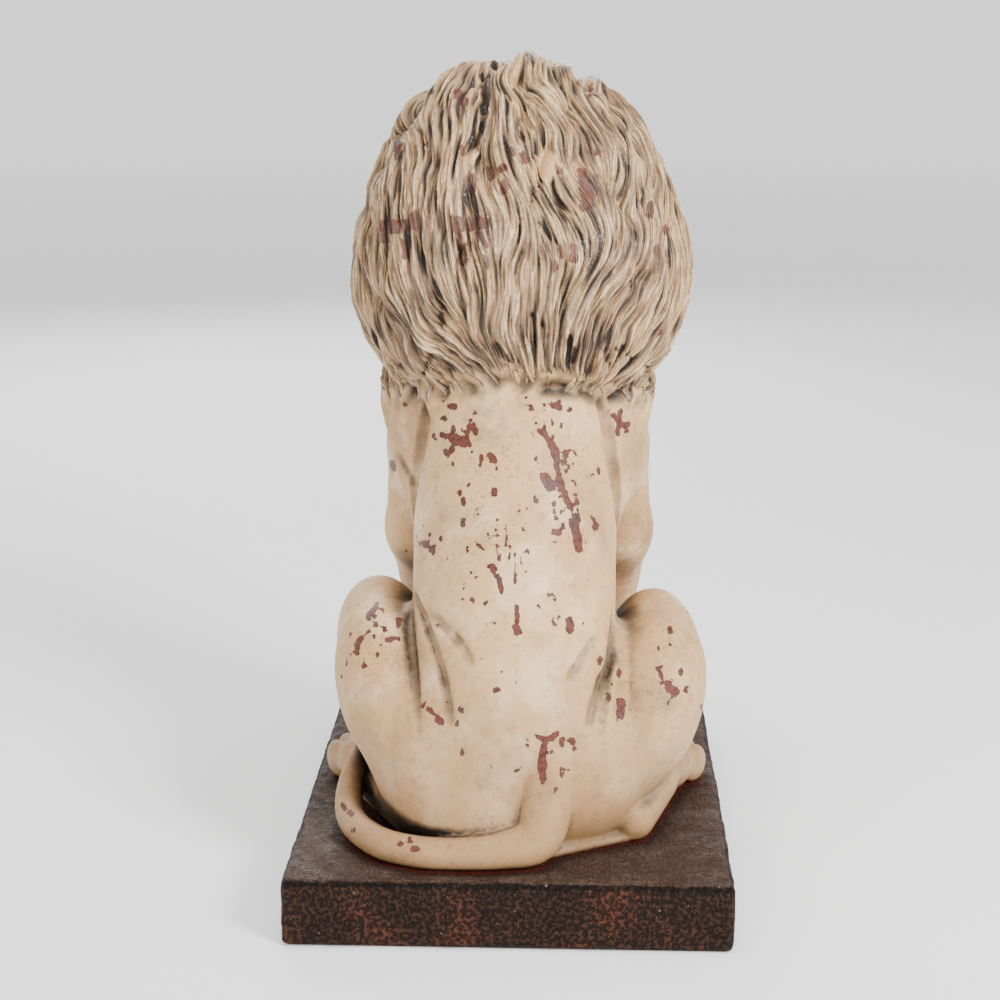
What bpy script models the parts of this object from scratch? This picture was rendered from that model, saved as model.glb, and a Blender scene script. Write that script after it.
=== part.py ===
"""A seated lion cast in resin, on a low rectangular plinth.

The lion is modelled as clay is: masses of flesh are pressed into one body, creases are cut into it,
and the mane is laid on in overlapping locks. Every place and size on the lion is given in hundredths
of its height, as (side, ahead, up): side runs to the lion's left, ahead runs forward from the back of
the tail, and up runs from the top of the plinth. The row frame is in metres, +Z up, with the origin at
the centre of the plinth's underside and the lion facing -Y.
"""

import math

import bmesh
import bpy
import numpy as np
from mathutils import Euler

# Driving sizes, in metres
PLINTH_WIDTH = 0.254
PLINTH_DEPTH = 0.370
PLINTH_HEIGHT = 0.040
PLINTH_EDGE_RADIUS = 0.004
LION_HEIGHT = 0.444
REAR_MARGIN = 0.010  # bare plinth behind the curl of the tail
SEAT_GAP = 0.0003  # the lion and the plinth are two bodies that touch

# Fineness of the model
GRID_STEP = 0.5  # hundredths of the lion's height
LION_TRIANGLES = 9600
FACE_CARE = 0.006  # how much more finely the face is kept than the rest
EDGE_SEGMENTS = 3

# The mane, in hundredths of the lion's height
MANE_HEART = (0.0, 44.0, 73.0)
FACE_HEART = (0.0, 62.0, 81.0)
FACE_CENTRE = (0.0, 66.0, 80.0)
FACE_RADII = (10.0, 12.0, 13.6)  # no lock grows inside this ellipsoid
LOCK_COUNT = 250
LOCK_LENGTH = 17.0
LOCK_RADIUS = 1.75
LOCK_STEP = 1.0
SHORTEST_LOCK = 5  # steps
LOCK_WAVE = 0.55  # radians that a lock swings from side to side
LOCK_WAVELENGTH = 11.0
HEM_BACK = 59.5
HEM_SIDE = 54.0
HEM_CHEST = 37.0

FOOT_SPLAY = 22.0  # degrees that the hind feet turn out
FAR = 30.0
SEED = 7


def smooth_min(a, b, fillet):
    """The nearer of two distances, with the crease between them filled to about that radius."""
    if fillet <= 0:
        return np.minimum(a, b)
    near = np.maximum(fillet - np.abs(a - b), 0) / fillet
    return np.minimum(a, b) - near * near * fillet / 4


class Clay:
    """A block of space that holds the distance to the modelled surface at the points of a cubic grid."""

    def __init__(self, low, high, step):
        self.low = np.array(low, float)
        self.step = step
        counts = [int(math.ceil((h - l) / step)) + 1 for l, h in zip(low, high)]
        self.axes = [l + step * np.arange(n) for l, n in zip(low, counts)]
        self.field = np.full(counts, FAR, np.float32)

    def work(self, shape, fillet, cut=False):
        """Adds a shape, or cuts it away, with a fillet along the crease."""
        distance, low, high = shape
        reach = fillet + 2 * self.step
        window = []
        for axis, a, b in zip(self.axes, low, high):
            first, last = np.searchsorted(axis, (a - reach, b + reach))
            if first == last:
                return
            window.append(slice(first, last))
        window = tuple(window)
        x, y, z = (axis[part] for axis, part in zip(self.axes, window))
        there = distance(x[:, None, None], y[None, :, None], z[None, None, :])
        here = self.field[window]
        if cut:
            self.field[window] = -smooth_min(-here, there, fillet)
        else:
            self.field[window] = smooth_min(here, there, fillet)

    def sample(self, points):
        """The distance at any points, between the grid's own."""
        place = (np.asarray(points, float) - self.low) / self.step
        most = np.array(self.field.shape) - 2
        base = np.clip(np.floor(place).astype(int), 0, most)
        part = np.clip(place - base, 0, 1)
        total = 0
        for corner in np.ndindex(2, 2, 2):
            weight = np.prod(np.where(corner, part, 1 - part), axis=-1)
            total = total + weight * self.field[tuple((base + corner).T)]
        return total

    def normals(self, points):
        """Unit directions that point straight out of the surface near the points."""
        reach = self.step
        slope = np.stack(
            [self.sample(points + reach * e) - self.sample(points - reach * e) for e in np.eye(3)],
            axis=-1,
        )
        return slope / np.maximum(np.linalg.norm(slope, axis=-1, keepdims=True), 1e-9)

    def fill_bubbles(self):
        """Fills every hollow that can't be reached from outside in steps along the axes."""
        solid = self.field < 0
        reached = np.zeros_like(solid)
        reached[0, 0, 0] = True
        before = 0
        while reached.sum() > before:
            before = reached.sum()
            for axis in range(3):
                for _ in range(2):
                    solid, reached = np.flip(solid, axis), np.flip(reached, axis)
                    shape = [1, 1, 1]
                    shape[axis] = -1
                    index = np.arange(solid.shape[axis], dtype=np.int16).reshape(shape)
                    wall = np.maximum.accumulate(np.where(solid, index, -1), axis)
                    seen = np.maximum.accumulate(np.where(reached, index, -1), axis)
                    reached = seen > wall
        self.field[~solid & ~reached] = -self.step / 20

    def fill_corners(self):
        """Fills the spots where two bodies of clay would meet in no more than a line."""
        changed = 1
        while changed:
            changed = 0
            for axis in range(3):
                b, c = (axis + 1) % 3, (axis + 2) % 3
                spots = []
                for db, dc in ((0, 0), (1, 0), (1, 1), (0, 1)):
                    spot = [slice(None)] * 3
                    spot[b] = slice(1, None) if db else slice(0, -1)
                    spot[c] = slice(1, None) if dc else slice(0, -1)
                    spots.append(tuple(spot))
                one, two, three, four = (self.field[spot] < 0 for spot in spots)
                crossed = (one == three) & (two == four) & (one != two)
                changed += crossed.sum()
                for spot in spots:
                    part = self.field[spot]
                    part[crossed & (part >= 0)] = -self.step / 20

    def surface(self):
        """The clay's skin, as points and four-sided faces: one point in each grid cell that it crosses."""
        inside = self.field < 0
        cells = tuple(n - 1 for n in inside.shape)
        count = np.zeros(cells, np.int8)
        for dx, dy, dz in np.ndindex(2, 2, 2):
            count += inside[dx : dx + cells[0], dy : dy + cells[1], dz : dz + cells[2]]
        crossed = np.argwhere((count > 0) & (count < 8))
        index = np.full(cells, -1, np.int32)
        index[tuple(crossed.T)] = np.arange(len(crossed))
        total = np.zeros((len(crossed), 3))
        hits = np.zeros(len(crossed))
        for axis in range(3):
            along = np.eye(3, dtype=int)[axis]
            for corner in np.ndindex(2, 2, 2):
                if corner[axis]:
                    continue
                start = crossed + corner
                a = self.field[tuple(start.T)]
                b = self.field[tuple((start + along).T)]
                meets = (a < 0) != (b < 0)
                share = np.where(meets, a / np.where(meets, a - b, 1), 0)
                total += np.where(meets[:, None], np.array(corner) + share[:, None] * along, 0)
                hits += meets
        points = self.low + self.step * (crossed + total / hits[:, None])
        return points, self.faces(inside, index)

    @staticmethod
    def faces(inside, index):
        """One face round each grid edge that the skin crosses, facing out."""
        found = []
        for axis in range(3):
            b, c = (axis + 1) % 3, (axis + 2) % 3
            low = [slice(1, -1)] * 3
            low[axis] = slice(0, -1)
            high = list(low)
            high[axis] = slice(1, None)
            here, there = inside[tuple(low)], inside[tuple(high)]
            for leaving in (True, False):
                edges = np.argwhere((here == leaving) & (there != leaving))
                edges[:, [b, c]] += 1
                ring = []
                for db, dc in ((-1, -1), (0, -1), (0, 0), (-1, 0)):
                    cell = edges.copy()
                    cell[:, b] += db
                    cell[:, c] += dc
                    ring.append(index[tuple(cell.T)])
                face = np.stack(ring, axis=-1)
                found.append(face if leaving else face[:, ::-1])
        return np.concatenate(found)


def ellipsoid(centre, radii, turn=(0, 0, 0)):
    """A distance function and the box it fills. The turn is in degrees about side, ahead and up."""
    spin = np.array(Euler([math.radians(a) for a in turn]).to_matrix())
    radii = np.array(radii, float)
    reach = np.sqrt(((spin * radii) ** 2).sum(axis=1))

    def distance(x, y, z):
        offset = (x - centre[0], y - centre[1], z - centre[2])
        local = [sum(spin[j, i] * offset[j] for j in range(3)) for i in range(3)]
        near = np.sqrt(sum((p / r) ** 2 for p, r in zip(local, radii)))
        steep = np.sqrt(sum((p / r**2) ** 2 for p, r in zip(local, radii)))
        return near * (near - 1) / np.maximum(steep, 1e-6)

    return distance, np.array(centre) - reach, np.array(centre) + reach


def limb(start, end, start_radius, end_radius):
    """A round bar between two points, whose radius runs evenly from one end to the other."""
    a, b = np.array(start, float), np.array(end, float)
    run = b - a
    low = np.minimum(a - start_radius, b - end_radius)
    high = np.maximum(a + start_radius, b + end_radius)

    def distance(x, y, z):
        offset = (x - a[0], y - a[1], z - a[2])
        share = np.clip(sum(o * r for o, r in zip(offset, run)) / (run @ run), 0, 1)
        away = np.sqrt(sum((o - share * r) ** 2 for o, r in zip(offset, run)))
        return away - (start_radius + share * (end_radius - start_radius))

    return distance, low, high


def path(clay, points, radii, fillet, cut=False):
    """A bar that bends through several points, smoothed so that it has no corners."""
    fine, thick = smooth_path(np.array(points, float), np.array(radii, float))
    for i in range(len(fine) - 1):
        clay.work(limb(fine[i], fine[i + 1], thick[i], thick[i + 1]), fillet if i == 0 else 0.3, cut)


def groove(clay, points, radii, fillet):
    """A furrow cut along the skin, under a line that passes near it."""
    fine, thick = smooth_path(np.array(points, float), np.array(radii, float))
    for _ in range(3):
        fine -= clay.sample(fine)[:, None] * clay.normals(fine)
    for i in range(len(fine) - 1):
        clay.work(limb(fine[i], fine[i + 1], thick[i], thick[i + 1]), fillet, cut=True)


def smooth_path(points, radii, pieces=5):
    """A Catmull-Rom curve through the points, with the radii carried along it."""
    rows = np.column_stack([points, radii])
    rows = np.vstack([2 * rows[0] - rows[1], rows, 2 * rows[-1] - rows[-2]])
    fine = []
    for i in range(1, len(rows) - 2):
        p0, p1, p2, p3 = rows[i - 1 : i + 3]
        for t in np.arange(pieces) / pieces:
            fine.append(
                0.5
                * (
                    2 * p1
                    + (p2 - p0) * t
                    + (2 * p0 - 5 * p1 + 4 * p2 - p3) * t**2
                    + (3 * p1 - p0 - 3 * p2 + p3) * t**3
                )
            )
    fine.append(rows[-2])
    fine = np.array(fine)
    return fine[:, :3], fine[:, 3]


def to_side(points, side):
    """Points given on the lion's left, put on either side."""
    return [(side * x, y, z) for x, y, z in points]


def torso(clay):
    """Rump, loin, ribs and belly."""
    clay.work(ellipsoid((0, 18.5, 13), (14.5, 13, 15)), 0)
    clay.work(limb((0, 21, 22), (0, 37, 48), 13.2, 14.0), 6)
    clay.work(ellipsoid((0, 40, 44), (14.6, 15, 18), (-20, 0, 0)), 5)
    clay.work(ellipsoid((0, 32, 24), (10.0, 12, 14)), 8)
    clay.work(limb((0, 48, 40), (0, 38, 26), 7, 6), 6)
    clay.work(ellipsoid((0, 50, 50), (12.0, 11, 15)), 6)
    clay.work(ellipsoid((3.5, 9.5, 4.5), (9.0, 6.0, 6.5)), 4)


def foreleg(clay, side):
    """Shoulder, upper arm, forearm and paw of one foreleg."""
    clay.work(ellipsoid((11.9 * side, 43, 49), (6.2, 9.5, 13), (-14, 0, 0)), 1.2)
    clay.work(limb((12.8 * side, 44, 46), (13.8 * side, 48, 32.5), 5.5, 5.4), 2)
    clay.work(limb((13.8 * side, 49.5, 33.5), (11.7 * side, 57, 9), 5.3, 3.7), 2)
    clay.work(ellipsoid((11.6 * side, 60.5, 5.5), (4.6, 7, 4.6)), 2)
    clay.work(ellipsoid((11.6 * side, 65.5, 3.4), (5.4, 6.6, 3.8)), 1.5)
    for toe, reach in ((-3.9, 68.6), (-1.4, 70.6), (1.4, 70.6), (3.9, 68.6)):
        clay.work(ellipsoid((11.6 * side + toe, reach, 2.7), (1.75, 3.6, 2.9)), 0.5)
    for gap in (-2.6, 0, 2.6):
        place = 11.6 * side + gap
        groove(clay, [(place, 65.5, 7.2), (place, 69.5, 5.6), (place, 73.5, 2.0)], [0.15, 0.5, 0.5], 0.6)


def hind_leg(clay, side):
    """Thigh, shank and splayed foot of one hind leg."""
    # The right knee is held lower and wider, and the right heel further out
    drop, out, heel = (0, 15.5, (11.8, 10.4, 3.0)) if side > 0 else (1.5, 17.3, (-16.2, 13.4, 2.6))
    clay.work(ellipsoid((9.4 * side, 17.5, 9.2), (9.2, 11.8, 11.8), (0, 24 * side, 0)), 5)
    clay.work(ellipsoid((out * side, 25, 16.0 - drop), (8.0, 15.5, 12.6), (14, 22 * side, 0)), 1.6)
    clay.work(ellipsoid((18.8 * side, 35.5, 20.5 - drop), (6.2, 8.5, 8.4), (0, 8 * side, 0)), 3)
    clay.work(limb((18.8 * side, 39, 16), (13.0 * side, 14, 6), 4.6, 3.2), 1.5)
    clay.work(ellipsoid((13.2 * side, 25, 19.0 - drop), (3.4, 9.5, 8.0)), 2.5)
    clay.work(limb(heel, (19.4 * side, 26, 3.0), 2.8, 3.3), 1.0)
    clay.work(ellipsoid((20.6 * side, 31.5, 3.2), (4.3, 6.0, 3.6), (0, 0, -FOOT_SPLAY * side)), 1.2)
    along = math.radians(FOOT_SPLAY)
    for toe, reach in ((-3.2, 4.6), (-1.1, 5.9), (1.2, 5.6), (3.3, 3.6)):
        x = 20.8 + toe * math.cos(along) + reach * math.sin(along)
        y = 32.0 - toe * math.sin(along) + reach * math.cos(along)
        clay.work(ellipsoid((x * side, y, 2.4), (1.5, 3.2, 2.6), (0, 0, -FOOT_SPLAY * side)), 0.5)
    clay.work(limb((4.0 * side, 6.5, 0), (heel[0], heel[1], 0), 1.5, 1.4), 0.8)


def tail(clay):
    """From the rump down to the plinth, round to the lion's left, and up over its foot."""
    points = [(-6.0, 12, 19), (-5.3, 8.4, 13), (-4.8, 5.8, 7.5), (-3.4, 4.2, 3.4), (1.0, 3.1, 2.3)]
    points += [(5.5, 2.6, 2.0), (11.0, 2.9, 1.9), (16.6, 5.8, 1.9), (21.0, 13, 1.9), (21.9, 19.5, 4.0)]
    points += [(20.4, 26, 7.2), (18.4, 31, 9)]
    radii = [2.8, 3.4, 3.3, 3.0, 2.4, 2.1, 2.0, 1.95, 1.85, 1.75, 1.65, 1.6]
    path(clay, points, radii, 2.5)


def head(clay):
    """Skull, cheekbones, muzzle, nose, brows and eyes."""
    clay.work(ellipsoid((0, 55.0, 83.5), (10.8, 10.4, 11.5)), 2)
    clay.work(ellipsoid((0, 59.8, 81.0), (8.8, 7.0, 8.6)), 3)
    clay.work(ellipsoid((0, 66.6, 84.8), (3.4, 8.6, 3.5), (-34, 0, 0)), 2.2)
    clay.work(ellipsoid((0, 66.5, 77.8), (5.4, 7.2, 4.6)), 2)
    clay.work(ellipsoid((0, 68.8, 72.2), (3.7, 4.0, 3.0)), 1.0)
    for side in (-1, 1):
        clay.work(limb((2.4 * side, 65.5, 72.6), (7.5 * side, 57, 76), 2.8, 4.2), 2)
        clay.work(limb((5.8 * side, 62.6, 80.8), (7.8 * side, 57.6, 81.4), 2.5, 3.4), 3)
        clay.work(ellipsoid((2.6 * side, 70.2, 77.3), (3.5, 4.3, 3.0), (0, 14 * side, 0)), 1.2)
        clay.work(ellipsoid((3.1 * side, 60.0, 90.6), (4.0, 3.4, 4.0)), 3)
        eye(clay, side)
    nose(clay)
    mouth(clay)


def eye(clay, side):
    """A hollow under the brow, the ball in it, and two lids that meet at its corners."""
    socket = ellipsoid((5.3 * side, 66.0, 85.8), (3.0, 2.6, 1.9), (0, -14 * side, -24 * side))
    clay.work(socket, 1.4, cut=True)
    brow = [(2.2, 65.6, 88.2), (5.0, 64.3, 89.2), (7.6, 60.8, 88.8), (8.6, 57.5, 87.4)]
    path(clay, to_side(brow, side), [1.2, 1.4, 1.2, 0.8], 3.0)
    clay.work(ellipsoid((5.0 * side, 63.5, 85.8), (2.6, 2.3, 2.1)), 0.1)
    inner, outer = (2.7, 66.5, 84.6), (8.0, 62.3, 86.6)
    path(clay, to_side([inner, (4.2, 65.8, 87.0), (6.3, 64.8, 87.4), outer], side), [0.4, 0.7, 0.7, 0.5], 0.5)
    path(clay, to_side([inner, (4.8, 65.7, 84.1), (6.6, 64.6, 84.6), outer], side), [0.4, 0.5, 0.5, 0.4], 0.5)


def nose(clay):
    """The broad leather, narrowing to the groove over the lip, and two slit nostrils."""
    clay.work(limb((-2.0, 73.4, 81.5), (2.0, 73.4, 81.5), 1.7, 1.7), 0.9)
    clay.work(ellipsoid((0, 73.9, 79.9), (2.2, 1.4, 1.9)), 0.6)
    for side in (-1, 1):
        slit = [(1.0, 75.4, 80.2), (2.1, 75.2, 80.3), (3.3, 74.3, 81.2), (3.7, 73.2, 82.0)]
        path(clay, to_side(slit, side), [0.5, 0.7, 0.55, 0.2], 0.2, cut=True)
    groove(clay, [(0, 75.4, 79.0), (0, 74.8, 77.0), (0, 74.4, 75.0)], [0.35, 0.4, 0.45], 0.5)


def mouth(clay):
    """The parting line of the lips, down from the groove and back to the cheeks."""
    for side in (-1, 1):
        lips = [(0, 74.0, 75.2), (2.6, 73.4, 74.2), (5.0, 70.8, 73.7), (6.6, 67.0, 73.9), (7.8, 63.2, 75.4)]
        groove(clay, to_side(lips, side), [0.7, 0.7, 0.7, 0.6, 0.2], 0.4)


def ears(clay):
    """Rounded cups that just clear the mane on both sides."""
    for side in (-1, 1):
        clay.work(ellipsoid((12.9 * side, 51.5, 90.2), (2.8, 2.4, 3.3), (0, 30 * side, 0)), 0.8)
        clay.work(ellipsoid((13.2 * side, 54.0, 90.4), (1.8, 2.2, 2.2), (0, 30 * side, 0)), 0.5, cut=True)


def mane_mass(clay):
    """The bulk under the locks: round the head, over the nape and down the chest."""
    clay.work(ellipsoid((-0.4, 42, 71.0), (21.3, 18.5, 18.5)), 2)
    clay.work(ellipsoid((0, 45.0, 79.0), (18.2, 16.5, 19.5)), 4)
    clay.work(ellipsoid((0, 51, 54), (13.5, 11, 17)), 5)


def hem(points):
    """The height at which the mane ends, by where it is round the body."""
    angle = np.arctan2(np.abs(points[:, 0]), points[:, 1] - MANE_HEART[1])
    turn = angle / math.pi  # 0 at the chest, 1 at the back
    heights = (HEM_CHEST, HEM_CHEST + 9, HEM_SIDE, HEM_BACK - 2, HEM_BACK)
    return np.interp(turn, (0, 0.22, 0.5, 0.8, 1), heights)


def on_face(points):
    """Which points lie in the bare opening of the face."""
    return (((points - FACE_CENTRE) / np.array(FACE_RADII)) ** 2).sum(axis=-1) < 1


def lock_starts(clay, count, rng):
    """Places spread evenly over the mane, found by coming in from outside towards its heart."""
    order = np.arange(count) + 0.5
    up = 1 - 2 * order / count
    turn = math.pi * (1 + 5**0.5) * order
    flat = np.sqrt(1 - up**2)
    ray = np.stack([flat * np.cos(turn), flat * np.sin(turn), up], axis=-1)
    ray += rng.normal(0, 0.05, ray.shape)
    ray /= np.linalg.norm(ray, axis=-1, keepdims=True)
    points = np.array(MANE_HEART) + 45 * ray
    for _ in range(40):
        points -= np.minimum(clay.sample(points), 2.0)[:, None] * ray
    keep = ~on_face(points) & (points[:, 2] > hem(points) + 2)
    return points[keep]


def flow(clay, points, swing):
    """The way hair lies on the surface there: away from the face and down, swung to one side."""
    out = clay.normals(points)
    away = points - np.array(FACE_HEART)
    away /= np.linalg.norm(away, axis=-1, keepdims=True)
    lay = away + np.array([0, 0, -1.1])
    lay -= (lay * out).sum(axis=-1, keepdims=True) * out
    lay /= np.maximum(np.linalg.norm(lay, axis=-1, keepdims=True), 1e-9)
    across = np.cross(out, lay)
    return lay * np.cos(swing)[:, None] + across * np.sin(swing)[:, None]


def comb(clay, starts, length, rng):
    """The lines that locks follow from their starts, all together, and how many steps each one runs."""
    steps = int(length / LOCK_STEP)
    phase = 2 * math.pi * np.sin(starts @ np.array([0.11, 0.07, 0.05])) + rng.normal(0, 0.7, len(starts))
    stop = hem(starts) + rng.normal(0, 1.2, len(starts))
    points = starts.copy()
    lines = [points.copy()]
    runs = np.full(len(starts), steps)
    for step in range(steps):
        swing = LOCK_WAVE * np.sin(2 * math.pi * step * LOCK_STEP / LOCK_WAVELENGTH + phase)
        points = points + LOCK_STEP * flow(clay, points, swing)
        points -= clay.sample(points)[:, None] * clay.normals(points)
        lines.append(points.copy())
        ended = ((points[:, 2] < stop) | on_face(points)) & (runs == steps)
        runs[ended] = step + 1
    return np.stack(lines, axis=1), runs


def mane_locks(clay):
    """Locks that swell from their roots and end in points, laid along the flow of the hair."""
    rng = np.random.default_rng(SEED)
    starts = lock_starts(clay, LOCK_COUNT, rng)
    lines, runs = comb(clay, starts, LOCK_LENGTH, rng)
    for line, run in zip(lines, runs):
        if run < SHORTEST_LOCK:
            continue
        thickness = LOCK_RADIUS * rng.uniform(0.75, 1.2)
        share = np.arange(run + 1) / run
        radii = thickness * (0.2 + 0.8 * np.sin(math.pi * share) ** 0.6) * (1 - share**6)
        for i in range(run):
            clay.work(limb(line[i], line[i + 1], max(radii[i], 0.2), max(radii[i + 1], 0.2)), 0.2)


def creases(clay):
    """Folds of skin between the masses, cut with a narrow tool."""
    for side in (-1, 1):
        groin = [(14.6, 26, 30), (13.4, 18, 25.5), (12, 12, 21), (11.2, 8, 15)]
        groove(clay, to_side(groin, side), [0.15, 0.45, 0.4, 0.1], 0.7)
        armpit = [(14.6, 31, 58), (14.4, 29.5, 48), (14, 31.5, 38), (12.5, 35, 31)]
        groove(clay, to_side(armpit, side), [0.1, 0.6, 0.7, 0.1], 2.2)


def sculpt_lion():
    """The whole lion in clay, before it is turned into a mesh."""
    clay = Clay((-29, -1, -1.5), (29, 77, 104), GRID_STEP)
    torso(clay)
    for side in (-1, 1):
        foreleg(clay, side)
        hind_leg(clay, side)
    creases(clay)
    tail(clay)
    mane_mass(clay)
    head(clay)
    mane_locks(clay)
    ears(clay)
    clay.field = np.maximum(clay.field, -clay.axes[2][None, None, :])
    return clay


def outer_shell(count, faces):
    """The faces of the largest connected skin, without any bubble inside it or crumb beside it."""
    label = np.arange(count)
    while True:
        lowest = label[faces].min(axis=1)
        new = label.copy()
        np.minimum.at(new, faces.ravel(), np.repeat(lowest, faces.shape[1]))
        new = new[new]
        if (new == label).all():
            break
        label = new
    names, sizes = np.unique(label[faces[:, 0]], return_counts=True)
    return faces[label[faces[:, 0]] == names[sizes.argmax()]]


def add_object(name, mesh, colour, roughness):
    """Links a mesh as one named piece with its own material."""
    material = bpy.data.materials.new(name)
    material.use_nodes = True
    shader = material.node_tree.nodes["Principled BSDF"]
    shader.inputs["Base Color"].default_value = (*colour, 1)
    shader.inputs["Roughness"].default_value = roughness
    mesh.materials.append(material)
    piece = bpy.data.objects.new(name, mesh)
    bpy.context.scene.collection.objects.link(piece)
    return piece


def make_lion():
    """Turns the clay into the cast lion, seated on the plinth."""
    clay = sculpt_lion()
    clay.fill_bubbles()
    clay.fill_corners()
    points, faces = clay.surface()
    faces = outer_shell(len(points), faces)
    used, faces = np.unique(faces, return_inverse=True)
    faces = faces.reshape(-1, 4)[:, ::-1]  # ahead runs against +Y, which turns the faces round
    unit = LION_HEIGHT / 100
    rear = PLINTH_DEPTH / 2 - REAR_MARGIN
    place = points[used] * unit * (1, -1, 1) + (0, rear, PLINTH_HEIGHT + SEAT_GAP)
    mesh = bpy.data.meshes.new("lion")
    mesh.from_pydata(place.tolist(), [], faces.tolist())
    mesh.shade_smooth()
    lion = add_object("lion", mesh, (0.72, 0.62, 0.48), 0.6)
    coarse = lion.vertex_groups.new(name="coarse")
    face = on_face(points[used])
    for weight, group in ((1.0, ~face), (0.01, face)):
        coarse.add([int(i) for i in np.flatnonzero(group)], weight, "REPLACE")
    thin = lion.modifiers.new("fewer_faces", "DECIMATE")
    thin.vertex_group = coarse.name
    thin.vertex_group_factor = FACE_CARE
    thin.ratio = LION_TRIANGLES / (2 * len(faces))
    thin.use_collapse_triangulate = True


def make_plinth():
    """A rectangular slab with rounded edges, flat below."""
    mesh = bpy.data.meshes.new("plinth")
    block = bmesh.new()
    bmesh.ops.create_cube(block, size=1)
    bmesh.ops.scale(block, vec=(PLINTH_WIDTH, PLINTH_DEPTH, PLINTH_HEIGHT), verts=block.verts)
    bmesh.ops.translate(block, vec=(0, 0, PLINTH_HEIGHT / 2), verts=block.verts)
    block.to_mesh(mesh)
    block.free()
    plinth = add_object("plinth", mesh, (0.10, 0.06, 0.045), 0.7)
    rounding = plinth.modifiers.new("edges", "BEVEL")
    rounding.width = PLINTH_EDGE_RADIUS
    rounding.segments = EDGE_SEGMENTS
    mesh.shade_smooth()
    mesh.set_sharp_from_angle(angle=math.radians(40))


def main():
    for old in list(bpy.data.objects):
        bpy.data.objects.remove(old)
    make_plinth()
    make_lion()


main()
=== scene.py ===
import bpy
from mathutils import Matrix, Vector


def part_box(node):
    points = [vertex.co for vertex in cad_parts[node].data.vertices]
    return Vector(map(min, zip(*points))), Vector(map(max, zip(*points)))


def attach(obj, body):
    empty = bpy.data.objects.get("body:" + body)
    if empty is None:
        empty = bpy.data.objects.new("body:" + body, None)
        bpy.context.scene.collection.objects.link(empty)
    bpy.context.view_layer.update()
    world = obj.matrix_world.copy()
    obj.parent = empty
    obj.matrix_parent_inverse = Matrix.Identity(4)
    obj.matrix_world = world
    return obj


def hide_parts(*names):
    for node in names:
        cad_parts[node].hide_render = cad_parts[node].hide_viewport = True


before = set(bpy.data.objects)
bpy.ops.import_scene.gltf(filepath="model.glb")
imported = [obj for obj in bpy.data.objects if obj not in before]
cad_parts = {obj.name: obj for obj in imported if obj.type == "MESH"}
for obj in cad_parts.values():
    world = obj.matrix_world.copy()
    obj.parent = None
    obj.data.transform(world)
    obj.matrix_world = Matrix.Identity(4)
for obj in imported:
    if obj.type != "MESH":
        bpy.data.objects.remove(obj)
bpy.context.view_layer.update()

# A cream lion on a dark plinth, seen from behind. The body is modelled as clay is, in hundredths of the
# lion's height as (side, ahead, up). Over it lies a skin of hair, carved in strands along the way the
# hair falls. Wash, chips and specks in the paint are in the materials, and so is painted light: painted
# shade in the hollows, in the folds and under the mane, painted highlight on the crests of the strands,
# and a painted shadow on the plinth round the lion's foot.
import math

import bmesh
import bpy
import numpy as np
from mathutils import Euler, Matrix, Vector, noise

GRID_STEP = 0.25
SEED = 11
FAR = 30.0

# The mane, in hundredths of the lion's height
MANE_HEART = (0.0, 44.0, 73.0)
FACE_HEART = (0.0, 62.0, 81.0)
FACE_CENTRE = (0.0, 66.0, 80.0)
FACE_RADII = (10.0, 12.0, 13.6)  # no hair grows inside this ellipsoid
MANE_MASSES = (  # the centres and radii of its bulk: round the head, over the nape and down the chest
    ((-0.4, 42, 71.0), (21.3, 18.5, 18.5)),
    ((0, 45.0, 79.0), (18.2, 16.5, 19.5)),
    ((0, 51, 54), (13.5, 11, 17)),
)
HAIR_REACH = 5.6  # how far out from those masses there is hair
EAR = (13.0, 51.8, 90.4)  # nor any near the ears
EAR_RADII = (3.3, 2.9, 3.8)
HEM_BACK = 59.5
HEM_SIDE = 54.0
HEM_CHEST = 37.0
FOOT_SPLAY = 22.0

# The large locks, as in the solid
LOCK_SEED = 7
LOCK_COUNT = 250
LOCK_LENGTH = 17.0
LOCK_RADIUS = 1.6
LOCK_FILLET = 1.3
LOCK_STEP = 1.0
SHORTEST_LOCK = 5
LOCK_WAVE = 0.55
LOCK_WAVELENGTH = 11.0


def smooth_min(a, b, fillet):
    """The nearer of two distances, with the crease between them filled to about that radius."""
    if fillet <= 0:
        return np.minimum(a, b)
    near = np.maximum(fillet - np.abs(a - b), 0) / fillet
    return np.minimum(a, b) - near * near * fillet / 4


def between(block, place):
    """The numbers of a block at places between its own, counted in steps from its corner."""
    counts = block.shape[:3]
    place = np.clip(place, 0, np.array(counts) - 1.001)
    base = place.astype(int)
    x, y, z = np.moveaxis((place - base).reshape(len(place), 3, *[1] * (block.ndim - 3)), 1, 0)
    rows = block.reshape(-1, *block.shape[3:])
    corner = (base[:, 0] * counts[1] + base[:, 1]) * counts[2] + base[:, 2]

    def line(start):
        return rows[start] * (1 - z) + rows[start + 1] * z

    def sheet(start):
        return line(start) * (1 - y) + line(start + counts[2]) * y

    return sheet(corner) * (1 - x) + sheet(corner + counts[1] * counts[2]) * x


def unit_length(arrows):
    """The same directions, each made one unit long."""
    return arrows / np.maximum(np.linalg.norm(arrows, axis=-1, keepdims=True), 1e-9)


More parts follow.
